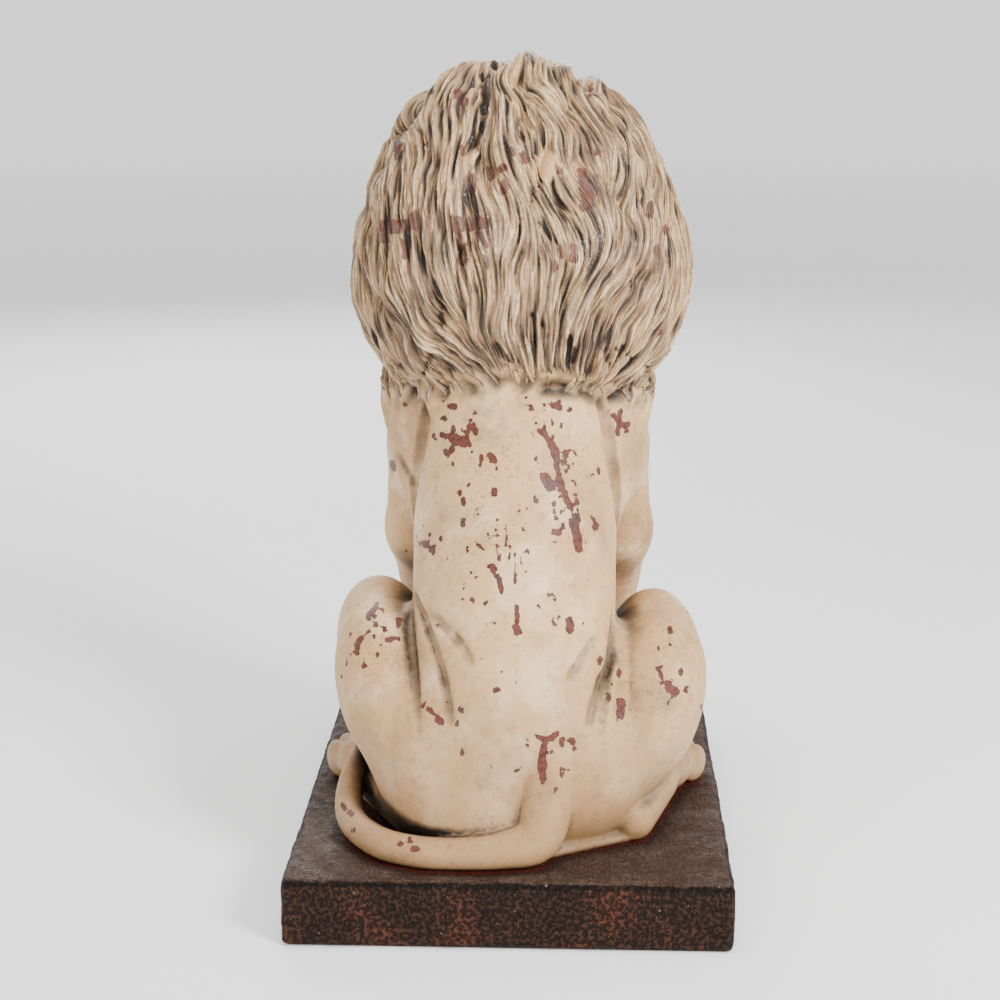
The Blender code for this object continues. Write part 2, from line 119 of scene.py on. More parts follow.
class Clay:
    """A block of space that holds the distance to the modelled surface at the points of a cubic grid."""

    def __init__(self, low, high, step, margin=0):
        self.low = np.array(low, float)
        self.step = step
        self.margin = margin
        counts = [int(math.ceil((h - l) / step)) + 1 for l, h in zip(low, high)]
        self.axes = [l + step * np.arange(n) for l, n in zip(low, counts)]
        self.field = np.full(counts, FAR, np.float32)

    def work(self, shape, fillet, cut=False):
        """Adds a shape, or cuts it away, with a fillet along the crease."""
        distance, low, high = shape
        reach = fillet + 2 * self.step + self.margin
        window = []
        for axis, a, b in zip(self.axes, low, high):
            first, last = np.searchsorted(axis, (a - reach, b + reach))
            if first == last:
                return
            window.append(slice(first, last))
        window = tuple(window)
        x, y, z = (axis[part] for axis, part in zip(self.axes, window))
        there = distance(x[:, None, None], y[None, :, None], z[None, None, :])
        here = self.field[window]
        if cut:
            self.field[window] = -smooth_min(-here, there, fillet)
        else:
            self.field[window] = smooth_min(here, there, fillet)

    def ball(self, centre, radii, fillet=0, turn=(0, 0, 0), cut=False):
        """Works an ellipsoid into the clay."""
        self.work(ellipsoid(centre, radii, turn), fillet, cut)

    def bar(self, start, end, start_radius, end_radius, fillet=0, cut=False):
        """Works a limb into the clay."""
        self.work(limb(start, end, start_radius, end_radius), fillet, cut)

    def sample(self, points):
        """The distance at any points, between the grid's own."""
        return between(self.field, (points - self.low) / self.step)

    def normals(self, points):
        """Unit directions that point straight out of the surface near the points."""
        reach = self.step
        slope = [self.sample(points + reach * e) - self.sample(points - reach * e) for e in np.eye(3)]
        return unit_length(np.stack(slope, axis=-1))

    def surface(self):
        """The clay's skin, as points and four-sided faces: one point in each grid cell that it crosses."""
        inside = self.field < 0
        cells = tuple(n - 1 for n in inside.shape)
        count = np.zeros(cells, np.int8)
        for dx, dy, dz in np.ndindex(2, 2, 2):
            count += inside[dx : dx + cells[0], dy : dy + cells[1], dz : dz + cells[2]]
        crossed = np.argwhere((count > 0) & (count < 8))
        index = np.full(cells, -1, np.int32)
        index[tuple(crossed.T)] = np.arange(len(crossed))
        total = np.zeros((len(crossed), 3))
        hits = np.zeros(len(crossed))
        for axis in range(3):
            along = np.eye(3, dtype=int)[axis]
            for corner in np.ndindex(2, 2, 2):
                if corner[axis]:
                    continue
                start = crossed + corner
                a = self.field[tuple(start.T)]
                b = self.field[tuple((start + along).T)]
                meets = (a < 0) != (b < 0)
                share = np.where(meets, a / np.where(meets, a - b, 1), 0)
                total += np.where(meets[:, None], np.array(corner) + share[:, None] * along, 0)
                hits += meets
        points = self.low + self.step * (crossed + total / hits[:, None])
        return points, self.faces(inside, index)

    @staticmethod
    def faces(inside, index):
        """One face round each grid edge that the skin crosses, facing out."""
        found = []
        for axis in range(3):
            b, c = (axis + 1) % 3, (axis + 2) % 3
            low = [slice(1, -1)] * 3
            low[axis] = slice(0, -1)
            high = list(low)
            high[axis] = slice(1, None)
            here, there = inside[tuple(low)], inside[tuple(high)]
            for leaving in (True, False):
                edges = np.argwhere((here == leaving) & (there != leaving))
                edges[:, [b, c]] += 1
                ring = []
                for db, dc in ((-1, -1), (0, -1), (0, 0), (-1, 0)):
                    cell = edges.copy()
                    cell[:, b] += db
                    cell[:, c] += dc
                    ring.append(index[tuple(cell.T)])
                face = np.stack(ring, axis=-1)
                found.append(face if leaving else face[:, ::-1])
        return np.concatenate(found)


def ellipsoid(centre, radii, turn=(0, 0, 0)):
    """A distance function and the box it fills. The turn is in degrees about side, ahead and up."""
    spin = np.array(Euler([math.radians(a) for a in turn]).to_matrix())
    radii = np.array(radii, float)
    reach = np.sqrt(((spin * radii) ** 2).sum(axis=1))

    def distance(x, y, z):
        offset = (x - centre[0], y - centre[1], z - centre[2])
        local = [sum(spin[j, i] * offset[j] for j in range(3)) for i in range(3)]
        near = np.sqrt(sum((p / r) ** 2 for p, r in zip(local, radii)))
        steep = np.sqrt(sum((p / r**2) ** 2 for p, r in zip(local, radii)))
        return near * (near - 1) / np.maximum(steep, 1e-6)

    return distance, np.array(centre) - reach, np.array(centre) + reach


def limb(start, end, start_radius, end_radius):
    """A round bar between two points, whose radius runs evenly from one end to the other."""
    a, b = np.array(start, float), np.array(end, float)
    run = b - a
    low = np.minimum(a - start_radius, b - end_radius)
    high = np.maximum(a + start_radius, b + end_radius)

    def distance(x, y, z):
        offset = (x - a[0], y - a[1], z - a[2])
        share = np.clip(sum(o * r for o, r in zip(offset, run)) / (run @ run), 0, 1)
        away = np.sqrt(sum((o - share * r) ** 2 for o, r in zip(offset, run)))
        return away - (start_radius + share * (end_radius - start_radius))

    return distance, low, high


def path(clay, points, radii, fillet, cut=False):
    """A bar that bends through several points, smoothed so that it has no corners."""
    fine, thick = smooth_path(np.array(points, float), np.array(radii, float))
    for i in range(len(fine) - 1):
        clay.bar(fine[i], fine[i + 1], thick[i], thick[i + 1], fillet if i == 0 else 0.3, cut)


def groove(clay, points, radii, fillet):
    """A furrow cut along the skin, under a line that passes near it."""
    fine, thick = smooth_path(np.array(points, float), np.array(radii, float))
    for _ in range(3):
        fine -= clay.sample(fine)[:, None] * clay.normals(fine)
    for i in range(len(fine) - 1):
        clay.bar(fine[i], fine[i + 1], thick[i], thick[i + 1], fillet, cut=True)


def smooth_path(points, radii, pieces=5):
    """A Catmull-Rom curve through the points, with the radii carried along it."""
    rows = np.column_stack([points, radii])
    rows = np.vstack([2 * rows[0] - rows[1], rows, 2 * rows[-1] - rows[-2]])
    fine = []
    for i in range(1, len(rows) - 2):
        p0, p1, p2, p3 = rows[i - 1 : i + 3]
        for t in np.arange(pieces) / pieces:
            curve = 2 * p1 + (p2 - p0) * t + (2 * p0 - 5 * p1 + 4 * p2 - p3) * t**2
            fine.append(0.5 * (curve + (3 * p1 - p0 - 3 * p2 + p3) * t**3))
    fine.append(rows[-2])
    fine = np.array(fine)
    return fine[:, :3], fine[:, 3]


def to_side(points, side):
    """Points given on the lion's left, put on either side."""
    return [(side * x, y, z) for x, y, z in points]


def torso(clay):
    """Rump, loin, ribs and belly."""
    clay.ball((0, 18.5, 13), (14.5, 13, 15))
    clay.bar((0, 21, 22), (0, 37, 48), 13.2, 14.0, 6)
    clay.ball((0, 40, 44), (14.6, 15, 18), 5, (-20, 0, 0))
    clay.ball((0, 32, 24), (10.0, 12, 14), 8)
    clay.bar((0, 48, 40), (0, 38, 26), 7, 6, 6)
    clay.ball((0, 50, 50), (12.0, 11, 15), 6)
    clay.ball((3.5, 9.5, 4.5), (9.0, 6.0, 6.5), 4)


def foreleg(clay, side):
    """Shoulder, upper arm, forearm and paw of one foreleg."""
    clay.ball((11.9 * side, 43, 49), (6.2, 9.5, 13), 1.2, (-14, 0, 0))
    clay.bar((12.8 * side, 44, 46), (13.8 * side, 48, 32.5), 5.5, 5.4, 2)
    clay.bar((13.8 * side, 49.5, 33.5), (11.7 * side, 57, 9), 5.3, 3.7, 2)
    clay.ball((11.6 * side, 60.5, 5.5), (4.6, 7, 4.6), 2)
    clay.ball((11.6 * side, 65.5, 3.4), (5.4, 6.6, 3.8), 1.5)
    for toe, reach in ((-3.9, 68.6), (-1.4, 70.6), (1.4, 70.6), (3.9, 68.6)):
        clay.ball((11.6 * side + toe, reach, 2.7), (1.75, 3.6, 2.9), 0.5)
    for gap in (-2.6, 0, 2.6):
        place = 11.6 * side + gap
        groove(clay, [(place, 65.5, 7.2), (place, 69.5, 5.6), (place, 73.5, 2.0)], [0.15, 0.5, 0.5], 0.6)


def hind_leg(clay, side):
    """Thigh, shank and splayed foot of one hind leg."""
    # The right knee is held lower and wider, and the right heel further out
    drop, out, heel = (0, 15.5, (11.8, 10.4, 3.0)) if side > 0 else (1.5, 17.3, (-16.2, 13.4, 2.6))
    clay.ball((9.4 * side, 17.5, 9.2), (9.2, 11.8, 11.8), 5, (0, 24 * side, 0))
    clay.ball((out * side, 25, 16.0 - drop), (8.0, 15.5, 12.6), 1.6, (14, 22 * side, 0))
    clay.ball((18.8 * side, 35.5, 20.5 - drop), (6.2, 8.5, 8.4), 3, (0, 8 * side, 0))
    clay.bar((18.8 * side, 39, 16), (13.0 * side, 14, 6), 4.6, 3.2, 1.5)
    clay.ball((13.2 * side, 25, 19.0 - drop), (3.4, 9.5, 8.0), 2.5)
    clay.bar(heel, (19.4 * side, 26, 3.0), 2.8, 3.3, 1.0)
    clay.ball((20.6 * side, 31.5, 3.2), (4.3, 6.0, 3.6), 1.2, (0, 0, -FOOT_SPLAY * side))
    along = math.radians(FOOT_SPLAY)
    for toe, reach in ((-3.2, 4.6), (-1.1, 5.9), (1.2, 5.6), (3.3, 3.6)):
        x = 20.8 + toe * math.cos(along) + reach * math.sin(along)
        y = 32.0 - toe * math.sin(along) + reach * math.cos(along)
        clay.ball((x * side, y, 2.4), (1.5, 3.2, 2.6), 0.5, (0, 0, -FOOT_SPLAY * side))
    clay.bar((4.0 * side, 6.5, 0), (heel[0], heel[1], 0), 1.5, 1.4, 0.8)


def tail(clay):
    """From the rump down to the plinth, round to the lion's left, and up over its foot."""
    points = [(-6.0, 12, 19), (-5.3, 8.4, 13), (-4.8, 5.8, 7.5), (-3.4, 4.2, 3.4), (1.0, 3.1, 2.3)]
    points += [(5.5, 2.6, 2.0), (11.0, 2.9, 1.9), (16.6, 5.8, 1.9), (21.0, 13, 1.9), (21.9, 19.5, 4.0)]
    points += [(20.4, 26, 7.2), (18.4, 31, 9)]
    radii = [2.8, 3.4, 3.3, 3.0, 2.4, 2.1, 2.0, 1.95, 1.85, 1.75, 1.65, 1.6]
    path(clay, points, radii, 2.5)


def head(clay):
    """Skull, cheekbones, muzzle, nose, brows and eyes."""
    clay.ball((0, 55.0, 83.5), (10.8, 10.4, 11.5), 2)
    clay.ball((0, 59.8, 81.0), (8.8, 7.0, 8.6), 3)
    clay.ball((0, 66.6, 84.8), (3.4, 8.6, 3.5), 2.2, (-34, 0, 0))
    clay.ball((0, 66.5, 77.8), (5.4, 7.2, 4.6), 2)
    clay.ball((0, 68.8, 72.2), (3.7, 4.0, 3.0), 1.0)
    for side in (-1, 1):
        clay.bar((2.4 * side, 65.5, 72.6), (7.5 * side, 57, 76), 2.8, 4.2, 2)
        clay.bar((5.8 * side, 62.6, 80.8), (7.8 * side, 57.6, 81.4), 2.5, 3.4, 3)
        clay.ball((2.6 * side, 70.2, 77.3), (3.5, 4.3, 3.0), 1.2, (0, 14 * side, 0))
        clay.ball((3.1 * side, 60.0, 90.6), (4.0, 3.4, 4.0), 3)
        eye(clay, side)
    nose(clay)
    mouth(clay)


def eye(clay, side):
    """A hollow under the brow, the ball in it, and two lids that meet at its corners."""
    clay.ball((5.3 * side, 66.0, 85.8), (3.0, 2.6, 1.9), 1.4, (0, -14 * side, -24 * side), cut=True)
    brow = [(2.2, 65.6, 88.2), (5.0, 64.3, 89.2), (7.6, 60.8, 88.8), (8.6, 57.5, 87.4)]
    path(clay, to_side(brow, side), [1.2, 1.4, 1.2, 0.8], 3.0)
    clay.ball((5.0 * side, 63.5, 85.8), (2.6, 2.3, 2.1), 0.1)
    inner, outer = (2.7, 66.5, 84.6), (8.0, 62.3, 86.6)
    path(clay, to_side([inner, (4.2, 65.8, 87.0), (6.3, 64.8, 87.4), outer], side), [0.4, 0.7, 0.7, 0.5], 0.5)
    path(clay, to_side([inner, (4.8, 65.7, 84.1), (6.6, 64.6, 84.6), outer], side), [0.4, 0.5, 0.5, 0.4], 0.5)


def nose(clay):
    """The broad leather, narrowing to the groove over the lip, and two slit nostrils."""
    clay.bar((-2.0, 73.4, 81.5), (2.0, 73.4, 81.5), 1.7, 1.7, 0.9)
    clay.ball((0, 73.9, 79.9), (2.2, 1.4, 1.9), 0.6)
    for side in (-1, 1):
        slit = [(1.0, 75.4, 80.2), (2.1, 75.2, 80.3), (3.3, 74.3, 81.2), (3.7, 73.2, 82.0)]
        path(clay, to_side(slit, side), [0.5, 0.7, 0.55, 0.2], 0.2, cut=True)
    groove(clay, [(0, 75.4, 79.0), (0, 74.8, 77.0), (0, 74.4, 75.0)], [0.35, 0.4, 0.45], 0.5)


def mouth(clay):
    """The parting line of the lips, down from the groove and back to the cheeks."""
    for side in (-1, 1):
        lips = [(0, 74.0, 75.2), (2.6, 73.4, 74.2), (5.0, 70.8, 73.7), (6.6, 67.0, 73.9), (7.8, 63.2, 75.4)]
        groove(clay, to_side(lips, side), [0.7, 0.7, 0.7, 0.6, 0.2], 0.4)


def ears(clay):
    """Rounded cups that just clear the mane on both sides."""
    for side in (-1, 1):
        clay.ball((12.9 * side, 51.5, 90.2), (2.8, 2.4, 3.3), 0.8, (0, 30 * side, 0))
        clay.ball((13.2 * side, 54.0, 90.4), (1.8, 2.2, 2.2), 0.5, (0, 30 * side, 0), cut=True)


def mane_mass(clay):
    """The bulk under the locks."""
    for (centre, radii), fillet in zip(MANE_MASSES, (2, 4, 5)):
        clay.ball(centre, radii, fillet)


def hem(points):
    """The height at which the mane ends, by where it is round the body."""
    angle = np.arctan2(np.abs(points[:, 0]), points[:, 1] - MANE_HEART[1])
    turn = angle / math.pi  # 0 at the chest, 1 at the back
    heights = (HEM_CHEST, HEM_CHEST + 9, HEM_SIDE, HEM_BACK - 2, HEM_BACK)
    return np.interp(turn, (0, 0.22, 0.5, 0.8, 1), heights)


def on_face(points):
    """Which points lie in the bare opening of the face."""
    return (((points - FACE_CENTRE) / np.array(FACE_RADII)) ** 2).sum(axis=-1) < 1


def lock_starts(clay, count, rng):
    """Places spread evenly over the mane, found by coming in from outside towards its heart."""
    order = np.arange(count) + 0.5
    up = 1 - 2 * order / count
    turn = math.pi * (1 + 5**0.5) * order
    flat = np.sqrt(1 - up**2)
    ray = np.stack([flat * np.cos(turn), flat * np.sin(turn), up], axis=-1)
    ray += rng.normal(0, 0.05, ray.shape)
    ray /= np.linalg.norm(ray, axis=-1, keepdims=True)
    points = np.array(MANE_HEART) + 45 * ray
    for _ in range(40):
        points -= np.minimum(clay.sample(points), 2.0)[:, None] * ray
    keep = ~on_face(points) & (points[:, 2] > hem(points) + 2)
    return points[keep]


def fall(points, out, swing):
    """The way hair lies on a surface that faces out: away from the face and down, swung to one side."""
    away = points - np.array(FACE_HEART)
    away /= np.linalg.norm(away, axis=-1, keepdims=True)
    lay = away + np.array([0, 0, -1.1])
    lay = unit_length(lay - (lay * out).sum(axis=-1, keepdims=True) * out)
    across = np.cross(out, lay)
    return lay * np.cos(swing)[:, None] + across * np.sin(swing)[:, None]


def comb(clay, starts, length, rng):
    """The lines that locks follow from their starts, all together, and how many steps each one runs."""
    steps = int(length / LOCK_STEP)
    phase = 2 * math.pi * np.sin(starts @ np.array([0.11, 0.07, 0.05])) + rng.normal(0, 0.7, len(starts))
    stop = hem(starts) + rng.normal(0, 1.2, len(starts))
    points = starts.copy()
    lines = [points.copy()]
    runs = np.full(len(starts), steps)
    for step in range(steps):
        swing = LOCK_WAVE * np.sin(2 * math.pi * step * LOCK_STEP / LOCK_WAVELENGTH + phase)
        points = points + LOCK_STEP * fall(points, clay.normals(points), swing)
        points -= clay.sample(points)[:, None] * clay.normals(points)
        lines.append(points.copy())
        ended = ((points[:, 2] < stop) | on_face(points)) & (runs == steps)
        runs[ended] = step + 1
    return np.stack(lines, axis=1), runs


def creases(clay):
    """Folds of skin between the masses, cut with a narrow tool."""
    for side in (-1, 1):
        groin = [(14.6, 26, 30), (13.4, 18, 25.5), (12, 12, 21), (11.2, 8, 15)]
        groove(clay, to_side(groin, side), [0.15, 0.45, 0.4, 0.1], 0.7)
        armpit = [(14.6, 31, 58), (14.4, 29.5, 48), (14, 31.5, 38), (12.5, 35, 31)]
        groove(clay, to_side(armpit, side), [0.1, 0.6, 0.7, 0.1], 2.2)


def soft_locks(clay):
    """The large waves of the mane, which the strands lie over."""
    rng = np.random.default_rng(LOCK_SEED)
    starts = lock_starts(clay, LOCK_COUNT, rng)
    lines, runs = comb(clay, starts, LOCK_LENGTH, rng)
    for line, run in zip(lines, runs):
        if run < SHORTEST_LOCK:
            continue
        thickness = LOCK_RADIUS * rng.uniform(0.75, 1.2)
        share = np.arange(run + 1) / run
        radii = thickness * (0.2 + 0.8 * np.sin(math.pi * share) ** 0.6) * (1 - share**6)
        for i in range(run):
            clay.bar(line[i], line[i + 1], max(radii[i], 0.2), max(radii[i + 1], 0.2), LOCK_FILLET)


def sculpt_lion():
    """The whole lion in clay, without the fine strands."""
    clay = Clay((-29, -1, -1.5), (29, 77, 104), GRID_STEP)
    torso(clay)
    for side in (-1, 1):
        foreleg(clay, side)
        hind_leg(clay, side)
    creases(clay)
    tail(clay)
    mane_mass(clay)
    head(clay)
    soft_locks(clay)
    ears(clay)
    clay.field = np.maximum(clay.field, -clay.axes[2][None, None, :])
    return clay


def outer_shell(count, faces):
    """The faces of the largest connected skin, without any bubble inside it or crumb beside it."""
    label = np.arange(count)
    while True:
        lowest = label[faces].min(axis=1)
        new = label.copy()
        np.minimum.at(new, faces.ravel(), np.repeat(lowest, faces.shape[1]))
        new = new[new]
        if (new == label).all():
            break
        label = new
    names, sizes = np.unique(label[faces[:, 0]], return_counts=True)
    return faces[label[faces[:, 0]] == names[sizes.argmax()]]


# Where things are, in metres, read from the CAD frame
PLINTH_LOW, PLINTH_HIGH = (np.array(corner, float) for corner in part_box("plinth"))
LION_LOW, LION_HIGH = (np.array(corner, float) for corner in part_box("lion"))

# The solid's highest and rearmost places, in hundredths of the lion's height
HIGHEST = 100.48
REARMOST = 0.47

# The photograph's camera: its focal length in pixels, its tilt and turn in degrees, and its place in
# metres from the middle of the plinth's rear top edge
FOCAL = 2000.0
PICTURE = 1000
TILT = 13.8
TURN = 2.1
CAMERA_SIDE = -0.0338
CAMERA_BACK = 1.0258
CAMERA_UP = 0.4718

# Strands, in hundredths of the lion's height
SKIN_STEP = 0.345
FORM_STEP = 0.8
BROAD = 0.36
FINE = 0.23
SWINGS = ((9.0, 0.34), (4.0, 0.22))
COMB_STEP = 0.24
COMB_REACH = 17
FINE_REACH = 9
HAIR_LIFT = -0.05
BROAD_DEPTH = 0.36
FINE_DEPTH = 0.16
TUCK = 0.7  # how far a skin goes under the one that covers it
EDGE_RAMP = 1.6
HEM_DROP = 0.9  # how far the strands hang below the large locks
SIDE_DROP = 1.3
BODY_TRIANGLES = 140000
DAB = (545, 168, 15)  # a smooth dab of paint on the strands, in the photograph


def to_world(points, unit, rear):
    """Places in the clay as places in the scene. The lion looks the other way there."""
    return points * unit * (1, -1, 1) + (0, rear, LION_LOW[2])


def to_clay(points, unit, rear):
    """Places in the scene as places in the clay."""
    return (points - (0, rear, LION_LOW[2])) / unit * (1, -1, 1)


def place_camera():
    """The camera that took the photograph."""
    data = bpy.data.cameras.new("camera")
    data.sensor_width = 36
    data.lens = FOCAL / PICTURE * 36
    camera = put_in_scene("camera", data)
    place = Matrix.Translation((CAMERA_SIDE, PLINTH_HIGH[1] + CAMERA_BACK, PLINTH_HIGH[2] + CAMERA_UP))
    turn = Matrix.Rotation(math.pi + math.radians(TURN), 4, "Z")
    camera.matrix_world = place @ turn @ Matrix.Rotation(math.pi / 2 - math.radians(TILT), 4, "X")
    bpy.context.scene.camera = camera
    return camera


def in_picture(camera, points):
    """Where points come in the photograph, in pixels from its top left corner, and how far off they are."""
    inverse = np.array(camera.matrix_world.inverted())
    local = points @ inverse[:3, :3].T + inverse[:3, 3]
    depth = np.maximum(-local[:, 2], 1e-6)
    x = PICTURE / 2 + FOCAL * local[:, 0] / depth
    y = PICTURE / 2 - FOCAL * local[:, 1] / depth
    return x, y, depth


def in_sight(camera, points, normals):
    """Which points of a skin the camera sees."""
    x, y, depth = in_picture(camera, points)
    eye_at = np.array(camera.matrix_world.translation)
    facing = ((eye_at - points) * normals).sum(axis=1) > 0
    cell = 4
    column = np.clip((x / cell).astype(int), 0, PICTURE // cell - 1)
    row = np.clip((y / cell).astype(int), 0, PICTURE // cell - 1)
    nearest = np.full((PICTURE // cell, PICTURE // cell), 99.0)
    np.minimum.at(nearest, (row, column), depth)
    return facing & (depth < nearest[row, column] + 0.012)


# Bare patches on the lion as the camera sees them, in pixels: where a
# stroke starts, how far it runs across and down, and its width
CHIPS = (
    (453, 438, 13, 4, 10), (462, 445, 8, -1, 6), (441, 434, 11, 5, 4), (468, 441, 0, -17, 4),
    (464, 419, 6, 1, 5), (473, 426, 3, 8, 7), (447, 453, 4, -1, 7), (452, 446, -3, 7, 3),
    (433, 434, 2, 5, 3), (443, 418, 4, 0, 5), (449, 407, 6, 0, 5), (419, 411, 0, 4, 2), (453, 427, 0, 4, 2),
    (453, 462, 0, 2, 2), (472, 450, 0, 2, 2), (481, 456, 0, 4, 2), (480, 465, 0, 2, 2), (491, 456, 2, 5, 5),
    (524, 406, 4, 0, 2), (521, 411, 0, 2, 2), (534, 410, 0, 2, 2), (543, 405, 2, 0, 4), (553, 405, 4, 1, 7),
    (545, 413, 0, 2, 2), (536, 421, 0, 2, 3), (546, 421, 0, 2, 2), (562, 423, 0, 2, 2), (540, 430, 5, 5, 6),
    (545, 435, 6, 7, 5), (547, 445, 9, 5, 3), (556, 451, 1, 10, 5), (556, 466, 3, 12, 5),
    (559, 478, 5, 14, 7), (564, 492, 5, 14, 6), (569, 506, 9, -3, 4), (578, 503, -2, -9, 4),
    (545, 477, 4, 9, 10), (548, 470, 0, 6, 3), (551, 484, 6, 0, 4), (554, 504, 1, 14, 4),
    (553, 532, 5, 0, 6), (562, 525, 0, 3, 2), (570, 520, 4, 6, 5), (578, 519, -3, 8, 5),
    (576, 530, 3, 19, 7), (561, 511, 0, 2, 2), (536, 457, 0, 4, 3), (540, 441, 0, 2, 2), (566, 452, 0, 3, 4),
    (576, 453, 0, 2, 2), (565, 462, 0, 2, 3), (566, 471, 0, 2, 2), (574, 480, 2, 5, 3), (578, 480, -2, 5, 3),
    (536, 495, 0, 6, 5), (519, 511, 8, -3, 3), (516, 486, 0, 2, 2), (524, 487, 0, 2, 2), (495, 491, 0, 4, 4),
    (483, 502, 0, 5, 2), (476, 508, 3, 7, 2), (464, 499, 0, 6, 6), (468, 484, 0, 2, 2), (463, 520, 0, 4, 4),
    (497, 519, 0, 2, 3), (507, 526, 2, 6, 7), (496, 536, 2, 0, 3), (477, 541, 2, 6, 3), (467, 547, 0, 6, 2),
    (485, 549, 0, 2, 2), (497, 546, 0, 2, 2), (500, 556, 0, 2, 2), (488, 533, 0, 2, 2), (417, 537, 2, 6, 3),
    (425, 544, 9, 8, 5), (432, 549, 4, -4, 3), (430, 534, 0, 2, 2), (441, 537, 0, 4, 3), (439, 555, 0, 2, 2),
    (448, 557, 0, 2, 2), (489, 566, 9, 11, 5), (498, 577, 6, 17, 5), (504, 594, 6, -4, 4),
    (513, 554, -1, 11, 6), (521, 564, 0, 6, 4), (513, 572, 2, 9, 6), (472, 599, 2, 4, 5),
    (459, 579, 0, 2, 2), (463, 587, 0, 2, 2), (516, 617, 2, 14, 8), (518, 606, -1, 8, 2),
    (548, 595, 4, 0, 3), (539, 607, 0, 2, 2), (498, 607, 6, 7, 2), (500, 622, -15, 3, 2),
    (553, 620, 2, 4, 4), (558, 616, 0, 2, 2), (570, 621, 0, 9, 8), (391, 463, 2, 6, 6), (621, 411, -1, 7, 4),
    (620, 421, -3, 13, 4), (627, 424, -7, 0, 3), (613, 416, 5, 5, 3), (627, 425, -2, 11, 2),
    (377, 604, -9, 13, 6), (376, 617, 0, 8, 3), (399, 621, 0, 5, 6), (386, 640, 12, -2, 5),
    (356, 652, 3, -12, 4), (359, 640, 10, -9, 4), (374, 636, 0, 2, 3), (351, 633, 0, 3, 3),
    (378, 653, 0, 3, 4), (347, 662, 0, 3, 3), (384, 628, 1, 2, 3), (430, 710, 11, 11, 6),
    (460, 709, 2, 3, 3), (457, 719, 0, 8, 2), (462, 750, 0, 4, 3), (494, 690, 5, 0, 4), (515, 680, 1, 3, 4),
    (600, 658, 0, 6, 4), (619, 671, 0, 5, 4), (608, 678, 0, 3, 3), (621, 703, -1, 11, 9),
    (609, 695, 0, 4, 3), (668, 688, 8, 4, 8), (665, 683, -7, -14, 4), (672, 691, -2, -11, 5),
    (686, 687, 0, 5, 4), (680, 671, 0, 3, 3), (670, 628, 0, 5, 3), (670, 641, 0, 5, 3), (689, 608, 0, 5, 3),
    (536, 735, 10, 6, 5), (557, 733, -11, 8, 5), (546, 741, -5, 19, 7), (541, 760, 1, 22, 7),
    (562, 740, 0, 5, 4), (573, 741, 0, 8, 5), (562, 770, 0, 8, 4), (555, 789, 0, 3, 4), (551, 752, 5, -4, 3),
    (399, 844, 3, 0, 3), (413, 849, 5, 0, 6), (343, 806, 2, 2, 3), (350, 812, 2, 3, 3), (598, 470, 1, 3, 3),
)
MANE_CHIPS = (
    (582, 172, 2, 12, 6), (587, 186, 1, 18, 12), (595, 177, 1, 16, 5), (574, 247, -1, 12, 5),
    (561, 247, 0, 9, 3), (558, 160, 1, 11, 4), (471, 178, 0, 11, 7), (490, 170, 1, 8, 4),
    (499, 170, 4, -2, 4), (504, 183, 1, 7, 6), (510, 150, 2, 3, 4), (525, 155, 1, 5, 4), (458, 93, 6, 10, 7),
    (485, 90, 0, 4, 4), (589, 90, -1, 5, 4), (579, 83, 2, 0, 3), (397, 139, 1, 19, 4),
    (385, 227, 18, -1, 12), (414, 216, 1, 11, 6), (405, 242, 1, 14, 4), (384, 235, 1, 5, 4),
    (453, 220, 1, 5, 5), (461, 220, 1, 8, 4), (470, 224, 14, -1, 11), (478, 233, 7, 12, 5),
    (457, 228, 3, 11, 3), (462, 246, 1, 16, 4), (486, 257, 0, 9, 3), (650, 206, 0, 9, 4),
    (665, 228, 1, 3, 3), (657, 248, 0, 6, 4), (430, 88, 2, 4, 3), (555, 264, 1, 4, 3), (462, 148, 1, 6, 3),
    (660, 330, 1, 4, 3), (597, 150, 1, 3, 2),
)
CRUMBS = 140  # specks round the bare patches
HIDDEN_CHIPS = 110  # bare patches that the camera doesn't see
HIDDEN_MANE_CHIPS = 50
# Deep hollows among the strands and at their ends, given in the same way: cut deeper, and painted dark partly
# as wash and partly as painted shade
NOTCHES = (
    (497, 346, 16, 20, 7), (567, 340, 4, 18, 9), (604, 352, 7, 13, 6), (617, 349, 14, 9, 7),
    (645, 365, 5, 15, 6), (469, 244, -1, 18, 3), (537, 178, -7, 27, 3), (512, 90, -5, 18, 4),
    (482, 75, 2, 35, 5), (420, 132, 4, 13, 4), (442, 310, -1, 15, 4), (520, 225, -2, 17, 4),
    (540, 222, 16, 20, 4), (640, 200, 6, 15, 4), (430, 355, -8, 23, 5), (400, 365, 2, 13, 4),
    (560, 88, -2, 7, 3), (478, 120, 2, 8, 4), (533, 315, 9, 10, 3), (630, 270, 2, 15, 4),
)
# Folds of skin on the back and the thighs, given in the same way. They are pressed into the clay, and painted
# shade is laid along them
FOLDS = (
    (414, 596, 14, 34, 1.6), (428, 630, 16, 50, 1.6), (444, 680, 6, 42, 0.6),
    (612, 652, -12, 33, 1.8), (600, 685, -10, 37, 0.6), (398, 455, 15, 27, 0.4),
)
FOLD_RADIUS = 0.1  # hundredths of the lion's height for each pixel of width
FOLD_FILLET = 1.1
SIGHT_START = 185  # how far from the camera the lines of sight are followed from, and in how many steps
SIGHT_STEPS = 90
SOFT_FOLDS = ((598, 636, -28, 42, 1.5), (428, 612, 28, 26, 1.5), (456, 638, 14, 24, 1))


def stroke_distance(x, y, strokes):
    """Pixels from points to the edge of the nearest stroke, less than nothing inside it."""
    best = np.full(len(x), 99.0)
    for x0, y0, dx, dy, width in strokes:
        share = np.clip(((x - x0) * dx + (y - y0) * dy) / max(dx * dx + dy * dy, 1e-6), 0, 1)
        away = np.hypot(x - x0 - share * dx, y - y0 - share * dy) - width / 2
        best = np.minimum(best, away)
    return best


